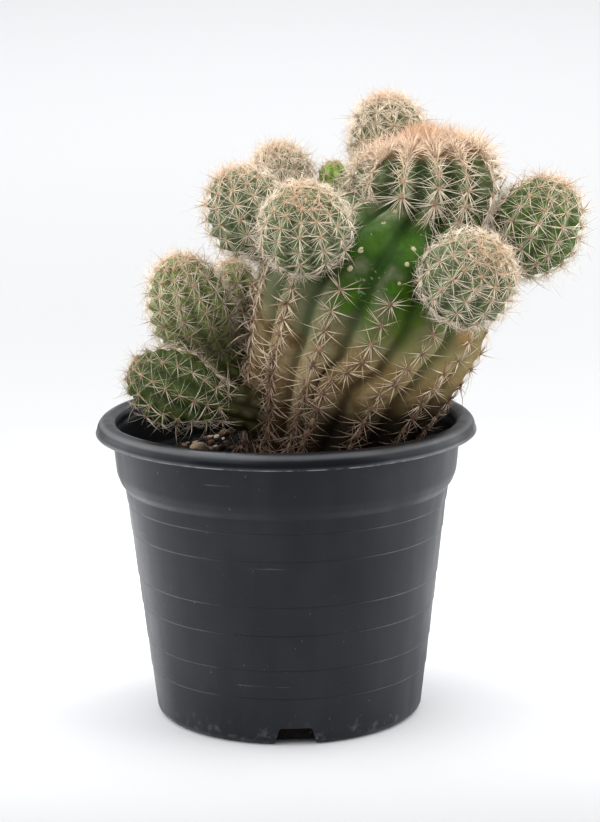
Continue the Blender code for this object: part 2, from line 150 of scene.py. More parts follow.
# Stones and bits of bark that lie loose on the soil: x, y and radius in mm, and how pale each is
LOOSE_STONES = [
    (-24.2, 2.6, 2.4, 0.68),
    (-17.3, 12.0, 1.7, 0.2),
    (-19.4, 16.0, 0.8, 1.0),
    (-17.6, 9.0, 0.6, 1.0),
    (-20.9, 8.0, 1.0, 0.15),
    (-14.6, -1.0, 0.9, 0.25),
    (-22.5, 19.0, 1.0, 0.1),
]

# Old stem, from its foot in the soil up the barrel and the waist to the crown: x, y, z, radius in mm
MAIN_SECTIONS = [
    (4.5, 1.0, 54.0, 0.0),
    (5.0, 1.0, 58.5, 13.5),
    (6.2, 1.0, 66.5, 17.5),
    (8.6, 0.8, 75.5, 21.2),
    (12.2, 0.4, 84.5, 24.8),
    (15.7, 0.0, 93.8, 28.3),
    (19.3, 0.0, 102.8, 31.0),
    (22.8, 0.0, 111.8, 32.4),
    (26.6, 0.0, 120.2, 31.4),
    (30.6, 0.4, 127.6, 27.2),
    (33.8, 0.9, 133.0, 21.6),
    (36.2, 1.4, 137.4, 18.6),
    (37.7, 2.0, 142.2, 19.6),
    (38.3, 2.5, 147.2, 19.8),
    (38.4, 2.9, 151.9, 17.6),
    (38.2, 3.2, 155.6, 12.4),
    (38.0, 3.3, 157.6, 0.0),
]
# How far some ribs of the old stem stray round it, in degrees, at these shares of its height
WANDER_SHARES = (0.2, 0.32, 0.38, 0.46, 0.6, 0.8)
RIB_WANDER = {
    -6: (2, 4, 5, 6, 2, 0),
    -5: (5, 2, 4, 3, 0, 0),
    -4: (-2, -1, 0, -1, -3, 2),
    -3: (-21, -19, -6, -4, -4, 1),
    -2: (-19, -20, -12, -6, -5, -3),
    -1: (-19, -19, -18, -8, -3, 0),
    0: (-21, -20, -19, -9, -2, 0),
    1: (-14, -14, -12, -6, 0, 0),
    2: (-8, -8, -6, -3, 0, 0),
    3: (-4, -4, -2, 0, 0, 0),
}
# How much closer together the areoles stand on the two narrow ribs at the left
MAIN_CLOSE_RIBS = {7: 0.74, 8: 0.78}
# The shoulder's spineless green patch, as angles round the stem and shares of its height
MAIN_BARE = (math.radians(-122), math.radians(-44), 0.50, 0.68)
BARE_EDGE_ANGLE = math.radians(14)
BARE_EDGE_SHARE = 0.04
# Where a stem's habit changes: shares of its height
BARREL_END = 0.6
HEAD_START = 0.66
COLLAR_MIDDLE = 0.755
COLLAR_REACH = 0.07
NEAR_CROWN = 0.8
# The least and most that radial spines lean from the skin's normal, in degrees
FLANK_TILTS = (58, 84)
OLD_CROWN_TILTS = (6, 66)
YOUNG_CROWN_TILTS = (52, 88)
# Sides of the old stem with spines of their own: the middle and reach of each, in degrees round it
LEFT_SIDE = (210, 50)
RIGHT_SIDE = (-10, 40)
CROWDED_SIDE = (155, 35)
# Marks on the plant: the centre and reach of each. The orange spot and scar are the skin's own; the last two
# darken spines and felt as painted shade, the last with dust as well.
ORANGE_SPOT = ((49 * MM, -18 * MM, 108 * MM), 6 * MM)
SCAR = ((23 * MM, -29 * MM, 124 * MM), 7 * MM)
SHADED_CROWDED_SPOT = ((-20 * MM, -4 * MM, 103 * MM), 16 * MM)
DUSTY_SHADED_SPOT = ((-34 * MM, -18 * MM, 97 * MM), 24 * MM)

# Young stems: steps along their axis, and how slowly the neck thins
OFFSET_STEPS = 10
NECK_TAPER = 0.25

# Ribs: how deep they may be for a stem's radius, and how round the bottom of a furrow is
DEEPEST_RIB = 0.22
FURROW_FLOOR = 0.02
SHARE_STEP = 0.012
CROWN_SHARE = 0.985
GOLDEN_ANGLE = math.radians(137.508)
PLANT_SEED = 5
AREOLE_STEPS = 240
AREOLE_SINK = 0.15 * MM
SKIN_UNEVENNESS = 0.5 * MM

# Stage: a sheet that curves up behind the pot, and softboxes with their place, size in metres and power
SWEEP_FRONT = -2.5
SWEEP_SIDE = 3.0
SWEEP_TOP = 3.4
CURVE_START = 1.0
CURVE_RADIUS = 2.4
CURVE_STEPS = 24
AIR_LIGHT = 0.85
LIGHT_AIM = (0.01, 0, 0.09)
SOFTBOXES = [
    ("key_light", (-0.75, -0.95, 1.15), (0.9, 0.9), 6),
    ("left_light", (-0.95, 0.1, 0.45), (1.4, 1.0), 14),
    ("right_light", (0.95, 0.1, 0.45), (1.4, 1.0), 15.5),
    ("top_light", (0.05, 0.25, 1.25), (1.5, 1.5), 18),
]


def srgb(*levels):
    """A colour given as it looks on a screen, 0 to 255, as the linear values that a shader takes."""
    return tuple(c / 255 / 12.92 if c <= 10 else ((c / 255 + 0.055) / 1.055) ** 2.4 for c in levels)


def colour(name, description, value):
    """A setting for a colour, in linear values."""
    look = {"subtype": "COLOR", "size": 3, "min": 0, "max": 1}
    return FloatVectorProperty(name=name, description=description, default=value, **look)


def length(name, description, value, most):
    """A setting for a length, in metres."""
    limits = {"unit": "LENGTH", "min": 0, "max": most, "precision": 4}
    return FloatProperty(name=name, description=description, default=value, **limits)


class PotSettings(bpy.types.PropertyGroup):
    """Sizes and finish of the nursery pot"""

    plastic: colour("Plastic", "Colour of the moulded plastic", srgb(5, 6, 12))
    # The dust colour also paints the highlight along the rim's upper edge.
    dust: colour("Dust", "Colour of the dust and scuffs on the plastic", srgb(150, 148, 145))
    roughness: FloatProperty(
        name="Roughness", description="How dull the plastic is", subtype="FACTOR", min=0, max=1, default=0.35
    )
    ring_depth: length("Ring depth", "Depth of the moulded rings round the wall", RING_DEPTH, MM)


class SoilSettings(bpy.types.PropertyGroup):
    """Colours and grit of the soil"""

    dark: colour("Soil", "Colour of the damp soil", srgb(19, 15, 12))
    stone: colour("Grit", "Colour of the palest grit", srgb(176, 160, 138))
    grit_size: length("Grit size", "Radius of the largest grains", LARGEST_GRAIN, 5 * MM)
    density: FloatProperty(
        name="Grains", description="Grains for each square metre of soil", min=0, default=GRIT_DENSITY
    )


class SkinSettings(bpy.types.PropertyGroup):
    """Ribs and colours of the stems"""

    rib_depth: length("Old rib depth", "Depth of the furrows of the old stem", 4.2 * MM, 10 * MM)
    offset_rib_depth: length("Offset rib depth", "Depth of the furrows of the offsets", 1.6 * MM, 5 * MM)
    tubercle: length("Tubercle height", "How far the skin swells at each areole", 0.7 * MM, 3 * MM)
    green: colour("Green", "Colour of the growing skin", srgb(44, 76, 10))
    cork: colour("Cork", "Colour of the old, corky skin", srgb(146, 128, 96))


class SpineSettings(bpy.types.PropertyGroup):
    """Lengths and colours of the spines"""

    old_length: length("Old spine length", "Length of the old stem's spines", 7.0 * MM, 30 * MM)
    offset_length: length("Offset spine length", "Length of the offsets' spines", 6.7 * MM, 20 * MM)
    thickness: length("Spine thickness", "Thickness of an old spine at its base", 0.25 * MM, MM)
    offset_thickness: length("Offset spine thickness", "Thickness of an offset's spine", 0.18 * MM, MM)
    pale: colour("Pale spines", "Colour of the spines on the flanks", srgb(246, 232, 210))
    crown: colour("Crown spines", "Colour of the young spines on the crowns", srgb(232, 160, 98))


class StageSettings(bpy.types.PropertyGroup):
    """Floor and light"""

    floor: colour("Floor", "Colour of the floor and backdrop", (0.385, 0.388, 0.392))
    light: FloatProperty(name="Light", description="Strength of the studio light", min=0, default=1.0)


class LobiviaSettings(bpy.types.PropertyGroup):
    """Everything that a user would change"""

    pot: PointerProperty(type=PotSettings)
    soil: PointerProperty(type=SoilSettings)
    skin: PointerProperty(type=SkinSettings)
    spines: PointerProperty(type=SpineSettings)
    stage: PointerProperty(type=StageSettings)


@dataclass
class Stem:
    """One stem: sections (centre and radius) along its axis, and how its ribs, areoles and spines repeat."""

    name: str
    sections: list
    ribs: int
    sides_per_rib: int
    rings: int
    rib_depth: float
    spacing: tuple
    span: tuple
    spines: tuple
    spine_length: float
    maturity: float
    crown_tuft: int
    spine_thickness: float
    centrals: int
    tint: float = 0.5
    reach: float = 1.0
    bare: tuple = None
    wander: dict = None
    close_ribs: dict = None
    crown_close: float = 0.0

    @property
    def old(self):
        """Only the old stem has a bare patch."""
        return self.bare is not None

    def axis(self, share):
        """Centre, radius and direction of the axis a share of the way from foot to crown."""
        centre, radius = section_at(self.sections, share)
        ahead = section_at(self.sections, min(share + SHARE_STEP, 1.0))[0]
        behind = section_at(self.sections, max(share - SHARE_STEP, 0.0))[0]
        return centre, radius, (ahead - behind).normalized()

    def outward(self, share, angle):
        turn = Vector((0, 0, 1)).rotation_difference(self.axis(share)[2])
        return turn @ Vector((math.cos(angle), math.sin(angle), 0))

    def angle_of(self, around, share):
        """The angle round the axis at a number of ribs from the first, as the ribs stray."""
        straight = math.tau * around / self.ribs
        if not self.wander:
            return straight
        rib, first = math.floor(around), min(self.wander)
        pair = ((rib + k - first) % self.ribs + first for k in (0, 1))
        before, after = (math.radians(self.stray(number, share)) for number in pair)
        return straight + before + (after - before) * eased(around - rib)

    def stray(self, rib, share):
        """How far a rib is from straight, in degrees."""
        values = self.wander.get(rib, [0.0] * len(WANDER_SHARES))
        for before, after, low, high in zip(values, values[1:], WANDER_SHARES, WANDER_SHARES[1:]):
            if share <= high:
                return before + (after - before) * eased((share - low) / (high - low))
        return values[-1]

    def crest_point(self, share, angle):
        centre, radius, _ = self.axis(share)
        return centre + self.outward(share, angle) * radius

    def basis(self, share, angle):
        """The skin's outward normal on a rib's crest, and the two directions along the skin."""
        share = min(max(share, 1 - CROWN_SHARE), CROWN_SHARE)
        below, above = (self.crest_point(share + step, angle) for step in (-SHARE_STEP, SHARE_STEP))
        upward = (above - below).normalized()
        sideways = self.axis(share)[2].cross(self.outward(share, angle)).normalized()
        return sideways.cross(upward).normalized(), upward, sideways

    def areole_rows(self, rib):
        """Shares up a rib's crest, each with its row number. Areoles stand where that is a whole number."""
        rows, row, last = [], 0.5 * (rib % 2), None
        closer = (self.close_ribs or {}).get(rib, 1.0)
        for step in range(AREOLE_STEPS + 1):
            share = step / AREOLE_STEPS
            place = self.crest_point(share, self.angle_of(rib, share))
            if last is not None:
                crowded = closer * (1 - self.crown_close * eased((share - NEAR_CROWN) / 0.1))
                row += (place - last).length / blend_of_three(self.spacing, share) / crowded
            rows.append((share, row))
            last = place
        return rows


@dataclass
class Areole:
    """One felted spot that carries a cluster of spines. A tilt is measured from the skin's normal."""

    place: Vector
    facing: Vector
    upward: Vector
    count: int
    low_tilt: float
    high_tilt: float
    reach: float
    age: float
    felt: float
    droop: float
    slim: float
    turn: float = 0.0


def held(share):
    return min(max(share, 0.0), 1.0)


def eased(share):
    """A smooth step from 0 to 1, held outside."""
    share = held(share)
    return share * share * (3 - 2 * share)


def blend_of_three(values, share):
    """A value that goes from the first at the foot over the second half-way to the third at the crown."""
    first, middle, last = values
    if share < 0.5:
        return first + (middle - first) * share * 2
    return middle + (last - middle) * (share * 2 - 1)


def spline(a, b, c, d, t):
    """Catmull-Rom curve between b and c."""
    square, cube = 2 * a - 5 * b + 4 * c - d, 3 * b - a - 3 * c + d
    return 0.5 * (2 * b + (c - a) * t + square * t * t + cube * t**3)


def section_at(sections, share):
    """Centre and radius a share of the way along the sections."""
    place = share * (len(sections) - 1)
    first = min(int(place), len(sections) - 2)
    four = [sections[min(max(first + k, 0), len(sections) - 1)] for k in (-1, 0, 1, 2)]
    x, y, z, radius = (spline(*(s[j] for s in four), place - first) for j in range(4))
    return Vector((x, y, z)), max(radius, 0.0)


def offset_sections(foot, bend, crown, radius, neck, body):
    """A young stem's sections: a thin neck at its foot that swells into an egg-shaped body."""
    foot, bend, crown = Vector(foot) * MM, Vector(bend) * MM, Vector(crown) * MM
    whole = (bend - foot).length + (crown - bend).length
    start = 1 - body * MM / whole
    sections = []
    for step in range(OFFSET_STEPS + 1):
        along = (1 - math.cos(math.pi * step / OFFSET_STEPS)) / 2
        centre = foot.lerp(bend, along).lerp(bend.lerp(crown, along), along)
        across = (2 * along - 1 - start) / (1 - start)
        swell = math.sqrt(max(1 - across * across, 0))
        wide = max(radius * swell, neck * (1 - along) ** NECK_TAPER if across < 0 else 0)
        sections.append((*centre, wide * MM if 0 < step < OFFSET_STEPS else 0.0))
    return sections


def old_stem(skin, spines):
    return Stem(
        name="stem_main",
        sections=[tuple(value * MM for value in section) for section in MAIN_SECTIONS],
        ribs=13,
        sides_per_rib=14,
        rings=200,
        rib_depth=skin.rib_depth,
        spacing=(2.4 * MM, 6.2 * MM, 2.5 * MM),
        span=(0.11, 0.985),
        spines=(13, 16, 18),
        spine_length=spines.old_length,
        maturity=1.0,
        crown_tuft=60,
        close_ribs=MAIN_CLOSE_RIBS,
        spine_thickness=spines.thickness,
        centrals=2,
        bare=MAIN_BARE,
        wander=RIB_WANDER,
        crown_close=0.3,
    )


def offset(
    skin, spines, name, foot, bend, crown, radius, neck, body, ribs, tint, reach, count,
    maturity=0.5, furrow=1.0, first=0.33,
):
    """One young stem, from a row of offsets()."""
    return Stem(
        name=f"offset_{name}",
        sections=offset_sections(foot, bend, crown, radius, neck, body),
        ribs=ribs,
        sides_per_rib=8,
        rings=64,
        rib_depth=skin.offset_rib_depth * furrow,
        spacing=(4.8 * MM, 4.6 * MM, 3.2 * MM),
        span=(first, 0.94),
        spines=(count + 8, count + 12, max(count + 5, min(4 * count, 16))),
        spine_length=spines.offset_length,
        maturity=maturity,
        crown_tuft=2 + min(count, 12) // 2,
        spine_thickness=spines.offset_thickness,
        centrals=3,
        tint=tint,
        reach=reach,
    )


def offsets(skin, spines):
    """The young stems. The left, right, front and back of a name are as seen from the front.

    A row has, in mm, the foot inside the old stem, bend, crown, radius, neck and body length. Then come
    the ribs, the tint from dark to fresh green, and the reach and number of the spines. Some rows end with
    how old the spines look at the foot, how deep the furrows are and where the areoles start.
    """
    rows = [
        ("front_left", (8.5, -18, 129), (4.5, -24, 132.5), (5.6, -36.5, 149), 11.5, 5.0, 22, 11,
         0.45, 0.95, 17),
        ("left", (1, -5, 127), (-8, -7.5, 131), (-13.8, -9, 152.5), 10.8, 5.0, 23, 11, 0.5, 1.0, 17),
        ("back_left", (6, 9, 131), (0, 11, 141), (-1.7, 12.5, 156.2), 7.7, 4.2, 18, 12, 0.6, 1.0, 32),
        ("back_small", (18, 11, 134), (15, 13, 141), (13.5, 15, 151.4), 5.1, 3.0, 12, 9, 1.0, 0.7, 2),
        ("top", (33, 10, 146), (30, 16.5, 149), (28.4, 20, 168.8), 10.4, 5.0, 22, 13, 0.6, 1.0, 32),
        ("back_right", (42, 13, 138), (51, 21, 138), (53.5, 27, 151), 6.6, 4.0, 15, 10, 0.6, 0.9, 12),
        ("right", (50, 0, 124), (65, 0, 119.5), (74, -1.5, 148), 12.1, 5.5, 27, 11, 0.3, 1.1, 11),
        ("front_right", (41, -20, 116), (44.5, -30, 121), (53.8, -42, 134), 12.0, 5.5, 23, 11, 0.5, 1.0, 18),
        ("basal_left", (-8, 7, 87), (-24, 5, 98), (-29.5, -2, 127.6), 11.2, 7.5, 30, 11, 0.75, 1.0, 14,
         0.7, 1.2, 0.46),
        ("basal_low", (-6, -9, 86), (-23, -16, 90), (-41.6, -19, 101), 10.0, 6.3, 25, 9, 0.0, 0.9, 3,
         0.55, 1.4, 0.36),
        ("basal_back", (-4, 12, 95), (-13, 16, 100), (-14.2, 18, 124), 6.3, 5.6, 17, 9, 0.85, 1.0, 20,
         0.7, 1.0, 0.45),
    ]
    return [offset(skin, spines, *row) for row in rows]


def calculation(operation, swapped=False):
    """What an operator does with a wire: it adds a node for that step to the wire's graph."""

    def step(wire, other):
        return wire.graph.math(operation, *((other, wire) if swapped else (wire, other)))

    return step


class Wire:
    """An output of a node, which can be added, multiplied and so on like a number or a vector."""

    def __init__(self, graph, socket):
        self.graph = graph
        self.socket = socket

    __add__ = calculation("ADD")
    __sub__ = calculation("SUBTRACT")
    __rsub__ = calculation("SUBTRACT", swapped=True)
    __mul__ = calculation("MULTIPLY")
    __truediv__ = calculation("DIVIDE")
    __pow__ = calculation("POWER")


class Graph:
    """Adds nodes to a tree, so that a material or a geometry tree reads as a list of steps."""

    def __init__(self, tree, kind, key):
        self.tree = tree
        self.place = self.get(kind, key=key)

    def add(self, kind, sockets=None, **settings):
        """A new node. sockets has a constant, or a wire to link from, for inputs by name or number."""
        node = self.tree.nodes.new(kind)
        for key, value in settings.items():
            setattr(node, key, value)
        enabled = [socket for socket in node.inputs if socket.enabled]
        for key, value in (sockets or {}).items():
            self.fill(next(s for n, s in enumerate(enabled) if key in (n, s.name)), value)
        return node

    def fill(self, socket, value):
        if isinstance(value, Wire):
            self.tree.links.new(value.socket, socket)
        else:
            socket.default_value = (*value, 1) if socket.type == "RGBA" else value

    def output(self, node, key=None):
        return Wire(self, next(s for s in node.outputs if s.enabled and key in (None, s.name)))

    def get(self, kind, sockets=None, key=None, **settings):
        """The output of a new node: the one of that name, or the first."""
        return self.output(self.add(kind, sockets, **settings), key)

    def math(self, operation, *values):
        """A step of arithmetic, on vectors where the first value is one."""
        kind = "ShaderNodeMath"
        if isinstance(values[0], Wire) and values[0].socket.type == "VECTOR":
            kind = "ShaderNodeVectorMath"
            if operation == "MULTIPLY" and not isinstance(values[1], tuple):
                operation = "SCALE"
        return self.get(kind, dict(enumerate(values)), operation=operation)

    def most(self, first, second):
        return self.math("MAXIMUM", first, second)

    def split(self, vector):
        return [Wire(self, socket) for socket in self.add("ShaderNodeSeparateXYZ", {0: vector}).outputs]

    def between(self, value, low, high, start=0.0, end=1.0, smooth=True):
        """value mapped from low...high to start...end, and held there outside."""
        sockets = {"Value": value, "From Min": low, "From Max": high, "To Min": start, "To Max": end}
        kind = "SMOOTHSTEP" if smooth else "LINEAR"
        return self.get("ShaderNodeMapRange", sockets, "Result", interpolation_type=kind)

    def noise(self, scale, detail, roughness=0.55):
        """Noise over the object. Three scales stretch it along the axes."""
        place = self.place
        if isinstance(scale, tuple):
            place, scale = self.get("ShaderNodeMapping", {"Vector": place, "Scale": scale}), 1
        sockets = {"Vector": place, "Scale": scale, "Detail": detail, "Roughness": roughness}
        return self.get("ShaderNodeTexNoise", sockets, "Fac")


class Finish(Graph):
    """A material's nodes, with the places that its patterns read."""

    def __init__(self, name):
        self.made = bpy.data.materials.new(name)
        self.made.use_nodes = True
        super().__init__(self.made.node_tree, "ShaderNodeTexCoord", "Object")
        self.shader = self.tree.nodes["Principled BSDF"]
        self.x, self.y, self.z = self.split(self.place)

    def attribute(self, name):
        return self.get("ShaderNodeAttribute", key="Fac", attribute_name=name)

    def near(self, centre, reach):
        """1 at a place on the object, falling to 0 at this distance."""
        return self.between(self.math("DISTANCE", self.place, centre), reach, 0.3 * reach)

    def mix(self, share, first, second):
        sockets = {"Factor": share, "A": first, "B": second}
        return self.get("ShaderNodeMix", sockets, "Result", data_type="RGBA")

    def coats(self, tone, *coats):
        """A tone under coats of colour, each given by its mask, how much it covers and its own tone."""
        for mask, share, coat in coats:
            tone = self.mix(mask * share, tone, coat)
        return tone

    def ramp(self, value, *stops):
        """A colour ramp. stops are pairs of position and colour."""
        node = self.add("ShaderNodeValToRGB", {"Fac": value})
        elements = node.color_ramp.elements
        while len(elements) < len(stops):
            elements.new(1.0)
        for element, (position, tone) in zip(elements, stops):
            element.position = position
            element.color = (*tone, 1)
        return self.output(node, "Color")

    def bump(self, height, distance, strength=1.0, **below):
        sockets = {"Height": height, "Distance": distance, "Strength": strength, **below}
        return self.get("ShaderNodeBump", sockets)

    def done(self, tone, roughness, gloss=0.5, normal=None, **sockets):
        """The finished material. A constant goes on the shader's own socket."""
        sockets.update({"Base Color": tone, "Roughness": roughness, "Specular IOR Level": gloss})
        if normal:
            sockets["Normal"] = normal
        for key, value in sockets.items():
            self.fill(self.shader.inputs[key], value)
        return self.made


class Shape(Graph):
    """A geometry tree with named inputs, which ends in Realize Instances and Set Material."""

    def __init__(self, name, **inputs):
        tree = bpy.data.node_groups.new(name, "GeometryNodeTree")
        super().__init__(tree, "GeometryNodeInputPosition", "Position")
        self.keys = {}
        self.declare("geometry", "Geometry")
        tree.interface.new_socket(name="Geometry", in_out="OUTPUT", socket_type="NodeSocketGeometry")
        for key, value in inputs.items():
            self.declare(key, "Int" if isinstance(value, int) else "Float").default_value = value
        self.declare("material", "Material")
        self.start = tree.nodes.new("NodeGroupInput")
        self.geometry = self.given("geometry")

    def declare(self, key, kind):
        """A new input of the tree."""
        name, kind = key.replace("_", " ").capitalize(), f"NodeSocket{kind}"
        self.keys[key] = self.tree.interface.new_socket(name=name, in_out="INPUT", socket_type=kind)
        return self.keys[key]

    def given(self, key):
        """The wire of one of the tree's named inputs."""
        return Wire(self, self.start.outputs[self.keys[key].name])

    def named(self, name, kind="FLOAT"):
        return self.get("GeometryNodeInputNamedAttribute", {"Name": name}, "Attribute", data_type=kind)

    def store(self, geometry, name, value):
        sockets = {"Geometry": geometry, "Name": name, "Value": value}
        return self.get("GeometryNodeStoreNamedAttribute", sockets, data_type="FLOAT", domain="POINT")

    def chance(self, low, high, seed):
        sockets = {"Min": low, "Max": high, "Seed": seed}
        return self.get("FunctionNodeRandomValue", sockets, data_type="FLOAT")

    def xyz(self, x, y, z):
        return self.get("ShaderNodeCombineXYZ", {"X": x, "Y": y, "Z": z})

    def aim(self, first, second):
        return self.get("FunctionNodeAxesToRotation", {"Primary Axis": first, "Secondary Axis": second})

    def scatter(self, points, instance, rotation, scale):
        sockets = {"Points": points, "Instance": instance, "Rotation": rotation, "Scale": scale}
        return self.get("GeometryNodeInstanceOnPoints", sockets)

    def move(self, geometry, **where):
        return self.get("GeometryNodeSetPosition", {"Geometry": geometry, **where})

    def dent(self, geometry, scale, depth):
        """The geometry as one mesh, moved in and out along its normals by noise."""
        real = self.get("GeometryNodeRealizeInstances", {"Geometry": geometry})
        normal = self.get("GeometryNodeInputNormal", key="Normal")
        return self.move(real, Offset=normal * ((self.noise(scale, 2) - 0.5) * (depth * 2)))

    def end(self, geometry):
        real = self.get("GeometryNodeRealizeInstances", {"Geometry": geometry})
        smooth = self.get("GeometryNodeSetShadeSmooth", {"Geometry": real})
        last = self.get("GeometryNodeSetMaterial", {"Geometry": smooth, "Material": self.given("material")})
        self.fill(self.tree.nodes.new("NodeGroupOutput").inputs["Geometry"], last)
        return self

    def build(self, obj, material, **values):
        """Shapes the object by this tree and leaves it a plain mesh, with its modifier removed."""
        modifier = obj.modifiers.new(self.tree.name, "NODES")
        modifier.node_group = self.tree
        for key, value in {**values, "material": material}.items():
            modifier[self.keys[key].identifier] = value
        apply_modifiers(obj)
        return obj


def apply_modifiers(obj):
    graph = bpy.context.evaluated_depsgraph_get()
    made = bpy.data.meshes.new_from_object(obj.evaluated_get(graph))
    obj.modifiers.clear()
    old, obj.data = obj.data, made
    bpy.data.meshes.remove(old)
    made.name = obj.name


def object_of(mesh):
    made = bpy.data.objects.new(mesh.name, mesh)
    bpy.context.scene.collection.objects.link(made)
    return made


def mesh_of(name, points, faces, **values):
    """A mesh with its attributes on the points: lists of numbers or of vectors."""
    mesh = bpy.data.meshes.new(name)
    mesh.from_pydata(points, [], faces)
    for key, each in values.items():
        vectors = isinstance(each[0], Vector)
        kind = "FLOAT_VECTOR" if vectors else "INT" if isinstance(each[0], int) else "FLOAT"
        made = mesh.attributes.new(key, kind, "POINT")
        flat = [c for vector in each for c in vector] if vectors else each
        made.data.foreach_set("vector" if vectors else "value", flat)
    return mesh


def object_from(bm, name):
    mesh = bpy.data.meshes.new(name)
    bm.to_mesh(mesh)
    bm.free()
    return object_of(mesh)


def deliver(piece, slot, *nodes):
    """Puts a finished piece on the frame under the root body, and hides the CAD nodes that it replaces. The
    slot argument is not used.
    """
    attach(piece, "root")
    if nodes:
        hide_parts(*nodes)


# Pot


def wall_radius(z):
    """The wall's outer radius at a height."""
    return BASE_RADIUS + WALL_SLOPE * z


def pot_corners(ring_depth):
    """Radius, height and fillet of each corner, from the floor up the inner wall, over the rim and down."""
    quarter = [math.pi / 2 * step / RIM_STEPS for step in range(RIM_STEPS + 1)]
    corners = [
        (0, FLOOR, 0),
        (wall_radius(FLOOR) - WALL, FLOOR, 1.2 * MM),
        (wall_radius(STEP_EDGE_Z) - WALL, STEP_EDGE_Z, 0.3 * MM),
        (STEP_EDGE_RADIUS - WALL, LEDGE_Z - LEDGE_DROP, 0.3 * MM),
        (BAND_LOW_RADIUS - WALL, LEDGE_Z, 0.2 * MM),
        (BAND_TOP_RADIUS - WALL, MOUTH_Z - MOUTH_SLOPE, 0.4 * MM),
        (MOUTH_RADIUS, MOUTH_Z, 0.3 * MM),
    ]
    lip_top = LIP_Z + LIP_EDGE
    rim_width = LIP_RADIUS - LIP_EDGE / 2 - RIM_TOP_RADIUS
    for turn in quarter:
        out = RIM_TOP_RADIUS + rim_width * math.sin(turn)
        corners.append((out, lip_top + (RIM_TOP_Z - lip_top) * math.cos(turn), 0))
    corners += [
        (LIP_RADIUS, LIP_Z, 0.2 * MM),
        (LIP_RADIUS - WALL, LIP_Z, 0.2 * MM),
        (LIP_RADIUS - 2 * WALL, lip_top + LIP_EDGE, 0.2 * MM),
        (BAND_TOP_RADIUS + LIP_EDGE / 2, lip_top + LIP_EDGE, 0.2 * MM),
        (BAND_TOP_RADIUS, BAND_TOP_Z, 0.2 * MM),
        (BAND_LOW_RADIUS, BAND_LOW_Z, 0.8 * MM),
        (STEP_EDGE_RADIUS, STEP_EDGE_Z, 0.5 * MM),
        (wall_radius(STEP_Z) + ring_depth, STEP_Z, 0.2 * MM),
    ]
    for height in RING_HEIGHTS:
        wall = wall_radius(height)
        corners += [
            (wall + ring_depth / 2, height, 0.06 * MM),
            (wall - 0.9 * ring_depth, height - RING_EDGE / 2, 0.04 * MM),
            (wall - ring_depth / 2, height - 1.3 * RING_EDGE, 0.08 * MM),
        ]
    centre = wall_radius(BASE_CORNER) - BASE_CORNER
    for turn in quarter:
        corners.append((centre + BASE_CORNER * math.cos(turn), BASE_CORNER * (1 - math.sin(turn)), 0))
    return corners + [(0, 0, 0)]


def rounded(corners):
    """The profile with an arc at each corner that has a fillet, held by a close point on each side."""
    made = []
    for before, here, after in zip(corners[:-2], corners[1:-1], corners[2:]):
        corner, fillet = Vector(here[:2]), here[2]
        if not fillet:
            made.append(corner)
            continue
        back, on = Vector(before[:2]) - corner, Vector(after[:2]) - corner
        cut = min(fillet, 0.45 * back.length, 0.45 * on.length)
        start, end = corner + back.normalized() * cut, corner + on.normalized() * cut
        if back.length > 4 * FILLET_SUPPORT:
            made.append(start + back.normalized() * FILLET_SUPPORT)
        for step in range(FILLET_STEPS + 1):
            along = step / FILLET_STEPS
            made.append(start.lerp(corner, along).lerp(corner.lerp(end, along), along))
        if on.length > 4 * FILLET_SUPPORT:
            made.append(end + on.normalized() * FILLET_SUPPORT)
    return [Vector(corners[0][:2]), *made, Vector(corners[-1][:2])]


def turned_shell(ring_depth):
    """The pot's profile turned into one closed wall."""
    bm = bmesh.new()
    points = [bm.verts.new((radius, 0, z)) for radius, z in rounded(pot_corners(ring_depth))]
    for first, second in zip(points, points[1:]):
        bm.edges.new((first, second))
    shell = object_from(bm, "pot_shell")
    screw = shell.modifiers.new("turned", "SCREW")
    screw.steps = screw.render_steps = POT_SIDES
    screw.use_merge_vertices = True
    screw.merge_threshold = 0.001 * MM
    return shell


def notch_cutter(index):
    """A block with sloping, rounded sides that takes out one notch at the foot of the wall."""
    bm = bmesh.new()
    bmesh.ops.create_cube(bm, size=1)
    for vertex in bm.verts:
        upper = vertex.co.z > 0
        x = BASE_RADIUS + 2 * NOTCH_DEPTH * vertex.co.x
        y = (NOTCH_TOP_WIDTH if upper else NOTCH_BASE_WIDTH) * vertex.co.y
        vertex.co = Vector((x, y, NOTCH_HEIGHT if upper else -NOTCH_BELOW))
    deep = [e for e in bm.edges if abs(e.verts[0].co.x - e.verts[1].co.x) > NOTCH_DEPTH]
    top = [e for e in deep if e.verts[0].co.z > 0]
    bmesh.ops.bevel(bm, geom=top, offset=NOTCH_ROUNDING, segments=3, affect="EDGES", profile=0.5)
    angle = NOTCH_ANGLE + index * math.tau / NOTCHES
    bmesh.ops.rotate(bm, verts=bm.verts, cent=(0, 0, 0), matrix=Matrix.Rotation(angle, 3, "Z"))
    return object_from(bm, f"notch_cutter_{index + 1}")


